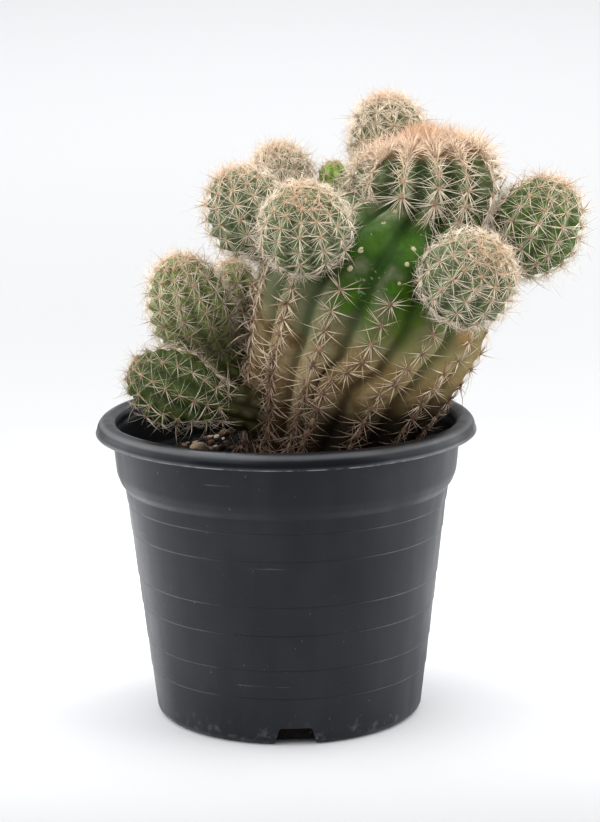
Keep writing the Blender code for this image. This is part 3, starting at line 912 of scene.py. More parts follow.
def black_plastic(pot):
    """Moulded plastic: cloudy gloss, fine scratches up and round the wall, and pale dust on the edges. The
    dust on the rim's upper edge also serves as a painted highlight, and painted shade darkens the rim's
    steep faces and the inner wall.
    """
    look = Finish("black_plastic")
    cloud, grain, streaks = look.noise(34, 5), look.noise(1500, 2), look.noise((70, 70, 9), 3)
    across, upward = look.noise((60, 60, 900), 3), look.noise((900, 900, 55), 3)
    scratches = look.most(look.between(across, 0.7, 0.78), look.between(upward, 0.71, 0.79, smooth=False))
    specks = look.between(look.noise(780, 2), 0.735, 0.78)
    lip_edge = look.between(look.math("ABSOLUTE", look.z - (LIP_Z + 0.1 * MM)), 0.32 * MM, 0)
    lip_wear = lip_edge * look.between(look.noise((150, 150, 20), 4), 0.42, 0.62)
    foot_dust = look.between(look.z, 9 * MM, 1 * MM) * look.between(look.noise(420, 4), 0.5, 0.75)
    facing = look.get("ShaderNodeNewGeometry", key="Normal")
    slope = look.split(facing)[2]
    brow = look.between(slope, 0.35, 0.6) * look.between(slope, 0.97, 0.8)
    # Dust on the rim's upward-facing upper edge, which also serves as a painted highlight along it.
    rim_dust_and_highlight = brow * look.between(look.z, 81 * MM, 82 * MM) * look.between(cloud, 0.3, 0.7, 0.3, 1.0)
    dust_and_highlight = look.between(cloud, 0.4, 0.75) * 0.02
    for mark in (scratches * 0.12, specks * 0.35, lip_wear * 0.55, foot_dust * 0.16, rim_dust_and_highlight * 0.17):
        dust_and_highlight = look.most(dust_and_highlight, mark)
    # Painted shade: the inner wall below the mouth turns near-black over its dust, and loses most of its
    # gloss.
    faces_in = look.math("DOT_PRODUCT", look.place * (1, 1, 0), facing)
    inside = look.between(faces_in, -1 * MM, -10 * MM) * look.between(look.z, 81 * MM, 77 * MM)
    # Painted shade: the rim's steep faces above the lip turn darker and lose gloss.
    lip = look.between(look.z, LIP_Z + 0.4 * MM, LIP_Z + 1 * MM) * look.between(slope, 0.75, 0.45)
    lip = lip * (1 - look.most(inside, lip_wear))
    tone = look.coats(
        look.mix(dust_and_highlight, pot.plastic, pot.dust),
        (inside, 1, (0.0015, 0.0015, 0.002)),
        (lip, 0.7, (0.001, 0.0015, 0.003)),
    )
    gloss = look.between(lip, 0, 1, PLASTIC_GLOSS, 0.15) * look.between(inside, 0, 1, 1.0, 0.15)
    gloss = gloss * look.between(streaks, 0.3, 0.7, 1.12, 0.9) * look.between(look.z, 0, 45 * MM, 0.8, 1.0)
    dull = look.between(cloud, 0.3, 0.7, pot.roughness - 0.07, pot.roughness + 0.08) + dust_and_highlight
    dull = dull + inside * 0.4 + look.between(streaks, 0.3, 0.7, -0.08, 0.1)
    wavy = look.bump(look.noise((30, 30, 70), 2), 0.5 * MM, 0.25)
    normal = look.bump(grain * 0.4 + scratches * -0.6, 0.05 * MM, 0.5, Normal=wavy)
    look.shader.inputs["Specular IOR Level"].default_value = PLASTIC_GLOSS
    return look.done(tone, dull, gloss, normal, **{"Specular Tint": (0.85, 0.92, 1.0)})


def build_pot(pot):
    shell = turned_shell(pot.ring_depth)
    cutters = [notch_cutter(index) for index in range(NOTCHES)]
    for cutter in cutters:
        cut = shell.modifiers.new("notch", "BOOLEAN")
        cut.operation = "DIFFERENCE"
        cut.object = cutter
        cut.solver = "EXACT"
    apply_modifiers(shell)
    for cutter in cutters:
        bpy.data.meshes.remove(cutter.data)
    shell.data.materials.clear()
    shell.data.materials.append(black_plastic(pot))
    shell.data.shade_smooth()
    shell.data.set_sharp_from_angle(angle=POT_EDGE_ANGLE)
    deliver(shell, "black_plastic", "pot")


# Soil


def soil_height(x, y):
    mound_x, mound_y = SOIL_MOUND_CENTRE
    away = math.hypot(x - mound_x, y - mound_y) / SOIL_MOUND_REACH
    first, second, third = SOIL_LUMP_LENGTHS
    lumps = math.sin(x / first) * math.cos(y / second + 1) + math.sin((x + 2 * y) / third)
    start, end = SOIL_RISE_EDGE
    rise = SOIL_RISE * (1 - eased((math.hypot(x, y) - start) / (end - start)))
    return SOIL_Z + rise + SOIL_MOUND * math.exp(-away * away) + SOIL_LUMPS * lumps


def soil_body():
    """A closed block of soil: rings across its uneven top, then the sides and the flat underside."""
    circle = [math.tau * side / SOIL_SIDES for side in range(SOIL_SIDES)]
    low, top = FLOOR + SEAT_GAP, wall_radius(SOIL_Z) - WALL - SEAT_GAP
    foot = wall_radius(low) - WALL - SEAT_GAP
    points, loose = [Vector((0, 0, soil_height(0, 0)))], [1.0]
    for ring in range(1, SOIL_RINGS + 1):
        radius = top * ring / SOIL_RINGS
        for angle in circle:
            x, y = radius * math.cos(angle), radius * math.sin(angle)
            points.append(Vector((x, y, soil_height(x, y))))
            loose.append(1.0 if ring < SOIL_RINGS else 0.0)
    points += [Vector((foot * math.cos(angle), foot * math.sin(angle), low)) for angle in circle]
    points.append(Vector((0, 0, low)))
    loose += [0.0] * (SOIL_SIDES + 1)
    pairs = [(side, (side + 1) % SOIL_SIDES) for side in range(SOIL_SIDES)]
    faces = [(0, 1 + side, 1 + after) for side, after in pairs]
    for here in range(1, 1 + SOIL_RINGS * SOIL_SIDES, SOIL_SIDES):
        on = here + SOIL_SIDES
        faces += [(here + side, on + side, on + after, here + after) for side, after in pairs]
    faces += [(len(points) - 1, on + after, on + side) for side, after in pairs]
    return object_of(mesh_of("soil_bed", points, faces, loose=loose))


def crumb_tree():
    """Raises and lowers a bed's loose top by noise of two sizes, so that it looks crumbled."""
    shape = Shape("soil crumbs", clod_height=0.9 * MM, crumb_height=0.55 * MM)
    clods = (shape.noise(190, 3) - 0.5) * (shape.given("clod_height") * 4)
    crumbs = (shape.noise(760, 3, 0.7) - 0.5) * (shape.given("crumb_height") * 4)
    rise = (clods + crumbs) * shape.named("loose")
    return shape.end(shape.move(shape.geometry, Offset=shape.xyz(0, 0, rise)))


def grit_tree():
    """Scatters grains over the faces that it is given: dented lumps of stone, turned and sized at random."""
    shape = Shape("grit", grains=GRIT_DENSITY, smallest=0.35 * MM, largest=LARGEST_GRAIN, seed=3)
    bed = {"Mesh": shape.geometry, "Density": shape.given("grains"), "Seed": shape.given("seed")}
    points = shape.get("GeometryNodeDistributePointsOnFaces", bed, "Points")
    smallest = shape.given("smallest")
    size = smallest + shape.chance(0.0, 1.0, 11) ** 3.0 * (shape.given("largest") - smallest)
    squash = shape.xyz(shape.chance(0.8, 1.5, 12), shape.chance(0.7, 1.1, 13), shape.chance(0.5, 0.9, 14))
    euler = shape.xyz(shape.chance(-0.6, 0.6, 15), shape.chance(-0.6, 0.6, 16), shape.chance(0.0, 6.28, 17))
    turn = shape.get("FunctionNodeEulerToRotation", {"Euler": euler})
    marked = shape.store(points, "tone", shape.chance(0.0, 1.0, 18))
    grain = shape.get("GeometryNodeMeshIcoSphere", {"Radius": 1.0, "Subdivisions": 2}, "Mesh")
    return shape.end(shape.dent(shape.scatter(marked, grain, turn, squash * size), 900, 0.35 * MM))


def stone_tree():
    """Dents the loose stones."""
    shape = Shape("stones", dent_depth=0.8 * MM)
    return shape.end(shape.dent(shape.geometry, 330, shape.given("dent_depth")))


def soil_look(soil):
    """Damp dark compost with paler fibres and crumbs."""
    look = Finish("soil")
    clods, crumbs = look.noise(260, 6, 0.65), look.noise(1300, 4, 0.7)
    dark = look.ramp(clods, (0.3, srgb(9, 7, 5)), (0.55, soil.dark), (0.75, srgb(38, 29, 22)))
    fibres = look.between(look.noise((500, 1600, 900), 3), 0.62, 0.72)
    tone = look.mix(fibres * 0.4, dark, srgb(92, 72, 52))
    dull = look.between(crumbs, 0.3, 0.7, 0.8, 1.0)
    return look.done(tone, dull, 0.08, look.bump(clods + crumbs * 0.6, MM))


def grit_look(soil):
    """Grains that run from dark compost over brown bark and tan stone to white pumice."""
    look = Finish("grit")
    stone = look.ramp(
        look.attribute("tone"),
        (0.0, srgb(17, 13, 11)),
        (0.7, srgb(30, 23, 18)),
        (0.86, srgb(84, 62, 44)),
        (0.93, srgb(140, 116, 88)),
        (0.975, soil.stone),
        (1.0, srgb(214, 206, 194)),
    )
    speckle = look.noise(1700, 4, 0.7)
    shade = look.mix(look.between(speckle, 0.35, 0.7, 0, 0.5), stone, srgb(38, 30, 24))
    return look.done(shade, look.between(speckle, 0.3, 0.7, 0.7, 0.95), 0.12, look.bump(speckle, 0.3 * MM))


def open_soil(bed):
    """A copy of the bed's top, a little in from the wall, for the grit to lie on."""
    bm = bmesh.new()
    bm.from_mesh(bed.data)
    limit = wall_radius(SOIL_Z) - WALL - GRIT_MARGIN
    hidden = [f for f in bm.faces if f.normal.z < LEVEL_ENOUGH or f.calc_center_median().xy.length > limit]
    bmesh.ops.delete(bm, geom=hidden, context="FACES")
    return object_from(bm, "soil_grit")


def loose_stones(bed):
    """The few larger stones that lie on the soil, as grains of the same material."""
    ground = BVHTree.FromObject(bed, bpy.context.evaluated_depsgraph_get())
    chance = random.Random(PLANT_SEED)
    bm = bmesh.new()
    tones = bm.verts.layers.float.new("tone")
    for x, y, radius, pale in LOOSE_STONES:
        stone = bmesh.ops.create_icosphere(bm, subdivisions=3, radius=radius * MM)["verts"]
        squash = Vector((chance.uniform(1.0, 1.3), chance.uniform(0.8, 1.0), chance.uniform(0.6, 0.8)))
        bmesh.ops.scale(bm, vec=squash, verts=stone)
        turn = Matrix.Rotation(chance.uniform(0, 3), 3, "Z")
        bmesh.ops.rotate(bm, verts=stone, cent=(0, 0, 0), matrix=turn)
        ground_z = ground.ray_cast(Vector((x * MM, y * MM, ABOVE_SOIL)), Vector((0, 0, -1)))[0].z
        bmesh.ops.translate(bm, verts=stone, vec=(x * MM, y * MM, ground_z + STONE_RISE * radius * MM))
        for vertex in stone:
            vertex[tones] = DARKEST_STONE + (1 - DARKEST_STONE) * pale
    for face in bm.faces:
        face.smooth = True
    return object_from(bm, "loose_stones")


def build_soil(soil):
    bed = crumb_tree().build(soil_body(), soil_look(soil))
    stone = grit_look(soil)
    grains = grit_tree().build(open_soil(bed), stone, grains=soil.density, largest=soil.grit_size)
    stones = stone_tree().build(loose_stones(bed), stone)
    deliver(bed, "soil", "soil")
    deliver(grains, "soil")
    deliver(stones, "soil")


# Stems


def rib_fullness(stem, share):
    """How full the ribs are: broad low on the old stem, and pinched between wide furrows on its head."""
    return 0.65 + 1.6 * eased((share - BARREL_END) / 0.22) if stem.old else 1.0


def bareness(stem, share, angle):
    """1 on the old stem's spineless patch, falling to 0 a little way outside it."""
    if not stem.old:
        return 0.0
    low, high, start, end = stem.bare
    angle = (angle + math.pi) % math.tau - math.pi
    across = min(angle - low, high - angle) / BARE_EDGE_ANGLE
    along = min(share - start, end - share) / BARE_EDGE_SHARE
    return eased(across + 1) * eased(along + 1)


def bare_body(stem):
    """The stem's smooth form before its ribs, closed at both poles, with what the rib tree reads on it."""
    sides = stem.ribs * stem.sides_per_rib
    rows = [stem.areole_rows(rib) for rib in range(stem.ribs)]
    foot, _, along = stem.axis(0)
    points = [(foot, -along, 0.0, 0.0, 0.0, 1.0, 0.0, 1.0)]
    for ring in range(1, stem.rings):
        share = ring / stem.rings
        centre, radius, along = stem.axis(share)
        turn = Vector((0, 0, 1)).rotation_difference(along)
        step, fullness = share * AREOLE_STEPS, rib_fullness(stem, share)
        for side in range(sides):
            around = side / stem.sides_per_rib
            angle = stem.angle_of(around, share)
            outward = turn @ Vector((math.cos(angle), math.sin(angle), 0))
            rib = rows[round(around) % stem.ribs]
            low = rib[int(step)][1]
            row = low + (rib[min(int(step) + 1, AREOLE_STEPS)][1] - low) * (step % 1)
            bumpy = 1 - bareness(stem, share, angle)
            if stem.old:
                bumpy *= 0.4 + 0.6 * eased((share - BARREL_END) / 0.1)
            points.append((centre + outward * radius, outward, radius, around, row, fullness, share, bumpy))
    crown, _, along = stem.axis(1)
    points.append((crown, along, 0.0, 0.0, 0.0, 1.0, 1.0, 1.0))
    faces = []
    for side in range(sides):
        after = (side + 1) % sides
        faces.append((0, 1 + after, 1 + side))
        for low in range(1, 1 + (stem.rings - 2) * sides, sides):
            high = low + sides
            faces.append((low + side, low + after, high + after, high + side))
        faces.append((high + side, high + after, len(points) - 1))
    places, *columns = (list(column) for column in zip(*points))
    values = dict(zip(("outward", "girth", "around", "row", "fullness", "share", "bumpy"), columns))
    return object_of(mesh_of(f"{stem.name}_skin", places, faces, **values, tint=[stem.tint] * len(points)))


def rib_tree():
    """Sinks the furrows between the ribs, swells the skin at each areole, and makes it a little uneven."""
    shape = Shape("ribbed skin", rib_depth=3.5 * MM, tubercle=0.7 * MM, unevenness=0.5 * MM, grain=70.0)
    girth = shape.named("girth")
    wave = shape.math("COSINE", shape.named("around") * math.pi) ** 2.0
    wave = (wave + FURROW_FLOOR) / (1 + FURROW_FLOOR)
    crest = wave ** (shape.named("fullness") * 0.5)
    sunk = shape.math("MINIMUM", shape.given("rib_depth"), girth * DEEPEST_RIB) * (1 - crest)
    swell = crest * crest * shape.math("COSINE", shape.named("row") * math.tau)
    swell = swell * (shape.given("tubercle") * shape.named("bumpy"))
    uneven = (shape.noise(shape.given("grain"), 3) - 0.5) * (shape.given("unevenness") * 2)
    rise = (swell + uneven) * shape.between(girth, 0.0, 8 * MM, smooth=False) - sunk
    marked = shape.store(shape.geometry, "crest", crest)
    return shape.end(shape.move(marked, Offset=shape.named("outward", "FLOAT_VECTOR") * rise))


def felt_tree():
    """A small felted cushion on each areole, dented by noise."""
    shape = Shape("areole felt", width=0.6 * MM, height=0.5 * MM)
    facing, upward = (shape.named(name, "FLOAT_VECTOR") for name in ("facing", "upward"))
    felt, age = shape.named("felt"), shape.named("age")
    wide = shape.given("width") * felt
    high = shape.given("height") * felt * shape.between(age, -0.5, 0.0, 0.45, 1.0)
    longer = wide * (shape.chance(1.0, 1.35, 22) + shape.between(age, 0.5, 0.8))
    marked = shape.store(shape.geometry, "tone", shape.chance(0.0, 1.0, 23))
    cushion = shape.get("GeometryNodeMeshUVSphere", {"Segments": 7, "Rings": 4, "Radius": 1.0}, "Mesh")
    placed = shape.scatter(marked, cushion, shape.aim(facing, upward), shape.xyz(longer, wide, high))
    return shape.end(shape.dent(placed, 1300, 0.5 * MM))


def spine_tree():
    """Curved, tapering spines on each areole: radial ones spread low, and a few centrals stand up."""
    sizes = {"length": 6 * MM, "thickness": 0.3 * MM, "bend": 0.2}
    shape = Shape("spine clusters", **sizes, segments=2, centrals=2, seed=1)
    seed, length, count = shape.given("seed"), shape.given("length"), shape.named("count", "INT")
    facing, upward = (shape.named(name, "FLOAT_VECTOR") for name in ("facing", "upward"))
    sockets = {"Geometry": shape.geometry, "Amount": count}
    copies = shape.add("GeometryNodeDuplicateElements", sockets, domain="POINT")
    several = shape.most(count, 1.0)
    around = shape.output(copies, "Duplicate Index") / several * math.tau
    around = around + shape.chance(-0.5, 0.5, seed) + shape.named("turn")
    central = shape.math("LESS_THAN", shape.chance(0.0, 1.0, seed + 5), shape.given("centrals") / several)
    low, high, spread = shape.named("low_tilt"), shape.named("high_tilt"), shape.chance(0.0, 1.0, seed + 1)
    tilt = (low + (high - low) * spread) * (1 - central) + low * spread * central
    sideways = shape.math("CROSS_PRODUCT", upward, facing)
    lean = upward * shape.math("COSINE", around) + sideways * shape.math("SINE", around)
    direction = facing * shape.math("COSINE", tilt) + lean * shape.math("SINE", tilt)
    direction = direction - upward * shape.named("droop")
    size = shape.named("reach") * length * shape.chance(0.55, 1.15, seed + 2)
    girth = shape.named("slim") * shape.chance(0.7, 1.3, seed + 4) * size
    marked = shape.store(shape.output(copies, "Geometry"), "tone", shape.chance(0.0, 1.0, seed + 3))
    spine = one_spine(shape, shape.given("thickness") * 0.5 / length)
    turn = shape.aim(direction, facing)
    return shape.end(shape.scatter(marked, spine, turn, shape.xyz(girth, girth, size)))


def one_spine(shape, root):
    """A spine of unit length along Z, thicker at its foot and bent towards the skin."""
    sockets = {"Vertices": 3, "Side Segments": shape.given("segments"), "Depth": 1.0}
    sockets.update({"Radius Top": 0.0, "Radius Bottom": root})
    cone = shape.get("GeometryNodeMeshCone", sockets, "Mesh", fill_type="NGON")
    x, y, along = shape.split(shape.place)
    bend = along * along * (shape.given("bend") * -1.0)
    taper = 1.25 - along * 0.25
    marked = shape.store(cone, "along", along)
    return shape.move(marked, Position=shape.xyz(x * taper + bend, y * taper, along))


def areole_spots(stem, chance):
    """Share and angle of each areole: up each rib's crest, and a spiral of close ones round the crown."""
    start, end = stem.span
    for rib in range(stem.ribs):
        rows = stem.areole_rows(rib)
        for (share, row), (next_share, next_row) in zip(rows, rows[1:]):
            if int(next_row) > int(row) and start < share < end:
                along = (int(next_row) - row) / (next_row - row)
                share += (next_share - share) * along
                yield share, stem.angle_of(rib, share), False
    for step in range(stem.crown_tuft):
        spread = math.sqrt((step + 0.5) / stem.crown_tuft)
        yield 1 - (1 - end) * 1.6 * spread, step * GOLDEN_ANGLE + chance.uniform(-0.2, 0.2), True


def on_side(angle, middle, reach):
    """1 at this angle round a stem, in degrees, falling to 0 at its reach."""
    return held(1 - abs((math.degrees(angle) - middle + 180) % 360 - 180) / reach)


def areole_at(stem, surface, share, angle, crown, chance):
    """One areole, with the felt and the spines that grow at such a place."""
    normal, upward, _ = stem.basis(share, angle)
    guess = stem.crest_point(share, angle)
    hit = surface.ray_cast(guess + normal * 4 * MM, -normal, 12 * MM)[0]
    near_crown = held((share - NEAR_CROWN) / 0.1)
    low_tilt, high_tilt = FLANK_TILTS
    spot = Areole(
        place=(hit or guess) - normal * AREOLE_SINK,
        facing=normal,
        upward=upward,
        count=round(blend_of_three(stem.spines, share)),
        low_tilt=low_tilt - 4 * near_crown,
        high_tilt=high_tilt,
        reach=stem.reach * chance.uniform(0.88, 1.12) * (1.0 if stem.old else 1 - 0.2 * near_crown),
        age=stem.maturity * (1 - share) + (0.0 if stem.old else 0.03),
        felt=chance.uniform(0.75, 1.05),
        droop=chance.uniform(-0.12, 0.12),
        slim=1.0,
    )
    if stem.old:
        shape_old_spines(spot, share, angle, near_crown)
    if crown:
        spot.felt = 0.9
        spot.low_tilt, spot.high_tilt = OLD_CROWN_TILTS if stem.old else YOUNG_CROWN_TILTS
        spot.reach *= 0.85 if stem.old else 0.55
        if stem.old:
            spot.count, spot.slim = 15, 1.5
    if bareness(stem, share, angle) == 1:
        spot.count, spot.age, spot.felt = 0, -1.0, chance.uniform(0.6, 1.6)
    spot.low_tilt, spot.high_tilt = math.radians(spot.low_tilt), math.radians(spot.high_tilt)
    spot.turn = chance.uniform(0, math.tau)
    return spot


def shape_old_spines(spot, share, angle, near_crown):
    """The old stem's habit: a collar below the head, and its crowded, right and left sides."""
    collar = held(1 - abs(share - COLLAR_MIDDLE) / COLLAR_REACH)
    head = eased((share - HEAD_START) / 0.1)
    left = on_side(angle, *LEFT_SIDE)
    low_left = left * eased((0.65 - share) / 0.2)
    spot.low_tilt -= 38 * near_crown
    spot.high_tilt -= 14 * near_crown
    spot.count += round(14 * collar + 12 * head) + round(8 * left * head) - round(low_left)
    spot.count += round(9 * on_side(angle, *RIGHT_SIDE) * (1 - head))
    spot.count -= round(9 * on_side(angle, *CROWDED_SIDE) * eased((0.55 - share) / 0.1))
    spot.reach *= (1 + 0.3 * collar) * (1 + 0.15 * low_left)
    spot.slim = 1.1 - 0.4 * head + 0.5 * near_crown + 0.75 * low_left
    spot.felt *= 1.1 + 0.3 * head + 0.45 * eased((0.5 - share) / 0.2)
    spot.droop += 0.4 * collar + 0.35 * low_left + 0.1 * eased((0.4 - share) / 0.2)


def areole_points(stem, name, areoles):
    """A mesh of loose points, one for each areole, with what the felt and spine trees read."""
    places, *columns = ([getattr(areole, field.name) for areole in areoles] for field in fields(Areole))
    values = {field.name: column for field, column in zip(fields(Areole)[1:], columns)}
    return object_of(mesh_of(f"{stem.name}_{name}", places, [], **values))


def furrow_shade(look):
    """1 in the furrows, 0 on the crests: the mask for the skins' painted shade in the furrows."""
    return look.between(look.attribute("crest"), 0.8, 0.22)


def old_skin(skin):
    """Old skin: corky and brown low down and on the left, green on the shoulder, dark green on the head,
    with painted shade in its furrows and at its foot, and a painted shadow of the rim on the foot's right.
    """
    look = Finish("old_stem_skin")
    x, z = look.x, look.z
    broad, mottle, fine = look.noise(75, 4), look.noise(230, 6, 0.65), look.noise(1100, 5, 0.65)
    furrow = furrow_shade(look)
    green = look.ramp(
        broad * 0.6 + mottle * 0.4, (0.34, srgb(26, 50, 6)), (0.5, skin.green), (0.66, srgb(66, 98, 20))
    )
    corky = look.ramp(
        broad * 0.4 + mottle * 0.6,
        (0.33, srgb(80, 62, 40)),
        (0.44, srgb(110, 92, 60)),
        (0.56, skin.cork),
        (0.7, srgb(126, 120, 84)),
    )
    head_green = look.ramp(
        mottle, (0.35, srgb(60, 78, 40)), (0.55, srgb(102, 114, 78)), (0.72, srgb(146, 150, 120))
    )
    border = look.most(0.119 - x * 0.42, 0.105)
    above = z - border + (broad - 0.5) * 0.06 + (mottle - 0.5) * 0.02 - look.attribute("crest") * 0.007
    aged = look.between(above, 1 * MM, -25 * MM)
    fading = look.between(above, look.between(x, 4 * MM, 20 * MM, 18 * MM, 9 * MM), -4 * MM)
    bands = look.between(look.noise((110, 110, 900), 3), 0.4, 0.65)
    flecks = look.between(look.noise((900, 500, 1100), 3), 0.6, 0.66)
    tone = look.coats(
        green,
        (fading, 0.85, look.mix(mottle, srgb(78, 88, 62), srgb(120, 118, 92))),
        (aged, 1, corky),
        (look.between(x, 8 * MM, 34 * MM) * look.between(z, 0.122, 0.095), 0.45, srgb(158, 134, 84)),
        # Painted shade in the furrows: dark green, or dark brown where the skin is corky.
        (furrow * look.between(aged, 0, 1, 0.6, 0.8), 1, look.mix(aged, srgb(28, 48, 16), srgb(66, 54, 30))),
        # The head's own dark green, with painted shade in its furrows.
        (look.between(z, 0.135, 0.143), 1, look.mix(furrow, head_green, srgb(54, 72, 40))),
        (look.between(z, 153 * MM, 156.5 * MM), 0.75, srgb(150, 108, 68)),
        (bands * aged, 0.3, srgb(92, 74, 50)),
        # Painted shade: darker towards the foot of the old stem.
        (look.between(z, 103 * MM, 79 * MM), 0.9, srgb(36, 27, 17)),
        # Painted shadow of the rim on the right of the foot.
        (look.between(x, 2 * MM, 14 * MM) * look.between(z, 92 * MM, 85 * MM), 0.8, srgb(14, 11, 8)),
        (look.near(*ORANGE_SPOT), look.between(mottle, 0.35, 0.6, 0.2, 0.7), srgb(170, 112, 50)),
        (look.near(*SCAR) * flecks, 0.55, srgb(160, 168, 148)),
    )
    height = mottle * look.between(aged, 0, 1, 0.2, 1.0) + fine * 0.35
    return look.done(tone, look.between(aged, 0, 1, 0.46, 0.85), 0.08, look.bump(height, 0.6 * MM, 0.7))


def young_skin(skin):
    """Young skin: soft green with a grey bloom on the ribs, painted shade in the furrows, and a browner foot
    that is partly old skin and partly painted shade.
    """
    look = Finish("young_stem_skin")
    mottle, fine = look.noise(210, 5, 0.6), look.noise(1300, 4, 0.6)
    tint = look.attribute("tint")
    fresh = look.ramp(
        tint,
        (0.0, srgb(56, 64, 18)),
        (0.3, srgb(78, 104, 40)),
        (0.5, srgb(90, 104, 64)),
        (0.7, srgb(112, 116, 62)),
        (1.0, srgb(140, 170, 60)),
    )
    tone = look.coats(
        look.mix(look.between(mottle, 0.3, 0.7, 0, 0.4), fresh, skin.green),
        # Painted shade in the furrows.
        (furrow_shade(look), 0.6, srgb(34, 52, 24)),
        (look.between(fine, 0.45, 0.7), look.between(tint, 0.1, 0.45, 0.1, 0.4), srgb(150, 156, 136)),
        # A browner foot: partly old skin, partly painted shade.
        (look.between(look.attribute("share"), 0.5, 0.3), 0.85, srgb(52, 44, 24)),
    )
    normal = look.bump(mottle + fine * 0.4, 0.35 * MM, 0.6)
    return look.done(tone, look.between(mottle, 0.3, 0.7, 0.5, 0.65), 0.18, normal)


def spine_look(spines):
    """Spines: orange-brown on the crowns, cream on the flanks, straw and brown on the old ribs, with painted
    shade low on the old stem and in the crowded gap beside it, and dust with painted shade on the lowest
    offset.
    """
    look = Finish("spines")
    age, tone, along = (look.attribute(name) for name in ("age", "tone", "along"))
    main = look.ramp(
        age,
        (0.0, spines.crown),
        (0.012, srgb(236, 182, 132)),
        (0.035, srgb(240, 206, 174)),
        (0.09, srgb(240, 216, 188)),
        (0.18, spines.pale),
        (0.42, srgb(236, 220, 198)),
        (0.55, srgb(220, 200, 172)),
        (0.75, srgb(196, 170, 144)),
        (1.0, srgb(160, 130, 108)),
    )
    old = look.between(age, 0.4, 0.7)
    root = look.between(along, 0.3, 0.0) * look.between(age, 0.4, 0.7, 0.22, 0.8)
    shade = look.coats(
        look.mix(look.between(tone, 0.0, 1.0, 0.0, 0.3, smooth=False), main, srgb(248, 240, 222)),
        (look.between(tone, 0.80, 0.92), look.between(age, 0.0, 0.9, 0.55, 0.8), srgb(120, 84, 62)),
        (root, 1, look.mix(old, srgb(190, 140, 112), srgb(82, 50, 44))),
        (look.between(along, 0.45, 0.9), look.between(age, 0.05, 0.2, 0.6, 0.45), srgb(140, 100, 80)),
        # Painted shade in the crowded gap between the basal offsets and the old stem.
        (look.near(*SHADED_CROWDED_SPOT), 0.7, srgb(74, 58, 42)),
        # Painted shade on the old spines low on the old stem.
        (look.between(look.z, 98 * MM, 84 * MM) * old, 0.65, srgb(84, 62, 48)),
        # Dust and painted shade on the spines of the lowest offset.
        (look.near(*DUSTY_SHADED_SPOT), 0.5, srgb(116, 104, 74)),
    )
    return look.done(shade, look.between(tone, 0, 1, 0.45, 0.65), 0.3)


def felt_look():
    """Areole felt: pinkish tan near the crowns, dark brown on the old ribs, cream where no spine grows, and
    darker with dust and painted shade on the lowest offset.
    """
    look = Finish("areole_felt")
    wool = look.noise(2600, 3, 0.7)
    age, tone = look.attribute("age"), look.attribute("tone")
    felt = look.ramp(
        age,
        (0.0, srgb(200, 162, 126)),
        (0.2, srgb(172, 140, 114)),
        (0.38, srgb(140, 112, 90)),
        (0.58, srgb(92, 58, 48)),
        (1.0, srgb(64, 38, 34)),
    )
    shade = look.coats(
        felt,
        (look.between(tone, 0.6, 1.0), 0.4, srgb(196, 160, 124)),
        (look.between(age, -0.1, -0.5), 1, look.mix(tone, srgb(120, 124, 78), srgb(190, 180, 146))),
        (look.between(wool, 0.35, 0.7), 0.35, srgb(206, 184, 150)),
        # Dust and painted shade on the felt of the lowest offset.
        (look.near(*DUSTY_SHADED_SPOT), 0.5, srgb(104, 88, 60)),
    )
    return look.done(shade, 0.95, 0.1, look.bump(wool, 0.3 * MM))


def build_stem(stem, slot, tubercle, trees, looks, seed):
    """One stem as three pieces: its ribbed skin, the felt of its areoles and its spines."""
    ribs, felt, clusters = trees
    skin_look, felt_material, spine_material = looks
    chance = random.Random(PLANT_SEED + seed)
    body = ribs.build(
        bare_body(stem), skin_look, rib_depth=stem.rib_depth, tubercle=tubercle, unevenness=SKIN_UNEVENNESS
    )
    surface = BVHTree.FromObject(body, bpy.context.evaluated_depsgraph_get())
    areoles = [areole_at(stem, surface, *spot, chance) for spot in areole_spots(stem, chance)]
    cushions = felt.build(areole_points(stem, "areoles", areoles), felt_material)
    tufts = clusters.build(
        areole_points(stem, "spines", areoles),
        spine_material,
        length=stem.spine_length,
        thickness=stem.spine_thickness,
        centrals=stem.centrals,
        seed=seed,
    )
    deliver(body, slot, stem.name)
    deliver(cushions, slot)
    deliver(tufts, slot)


def build_stems(settings, slot, skin_look, stems, first_seed):
    """Stems of one skin, with the trees and materials that they share."""
    trees = (rib_tree(), felt_tree(), spine_tree())
    looks = (skin_look(settings.skin), felt_look(), spine_look(settings.spines))
    for index, stem in enumerate(stems):
        build_stem(stem, slot, settings.skin.tubercle, trees, looks, first_seed + index)


# Stage


def build_stage(stage):
    floor = sweep()
    floor.data.materials.append(paper(stage))
    floor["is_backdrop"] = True
    for name, place, size, power in SOFTBOXES:
        softbox(name, place, size, power * stage.light)
    world = bpy.data.worlds.new("studio")
    world.use_nodes = True
    background = world.node_tree.nodes["Background"].inputs
    background["Color"].default_value = (1.0, 1.0, 1.0, 1)
    background["Strength"].default_value = AIR_LIGHT * stage.light
    bpy.context.scene.world = world
    bpy.context.scene.view_settings.view_transform = "Standard"
    place_camera()


def sweep():
    """One seamless sheet: a floor that curves up into a backdrop."""
    profile = [(SWEEP_FRONT, 0.0), (CURVE_START, 0.0)]
    for step in range(1, CURVE_STEPS + 1):
        turn = math.pi / 2 * step / CURVE_STEPS
        profile.append((CURVE_START + CURVE_RADIUS * math.sin(turn), CURVE_RADIUS * (1 - math.cos(turn))))
    profile.append((CURVE_START + CURVE_RADIUS, SWEEP_TOP))
    points = [(x, y, z) for y, z in profile for x in (-SWEEP_SIDE, SWEEP_SIDE)]
    faces = [(2 * k, 2 * k + 1, 2 * k + 3, 2 * k + 2) for k in range(len(profile) - 1)]
    floor = object_of(mesh_of("floor", points, faces))
    floor.data.shade_smooth()
    return floor


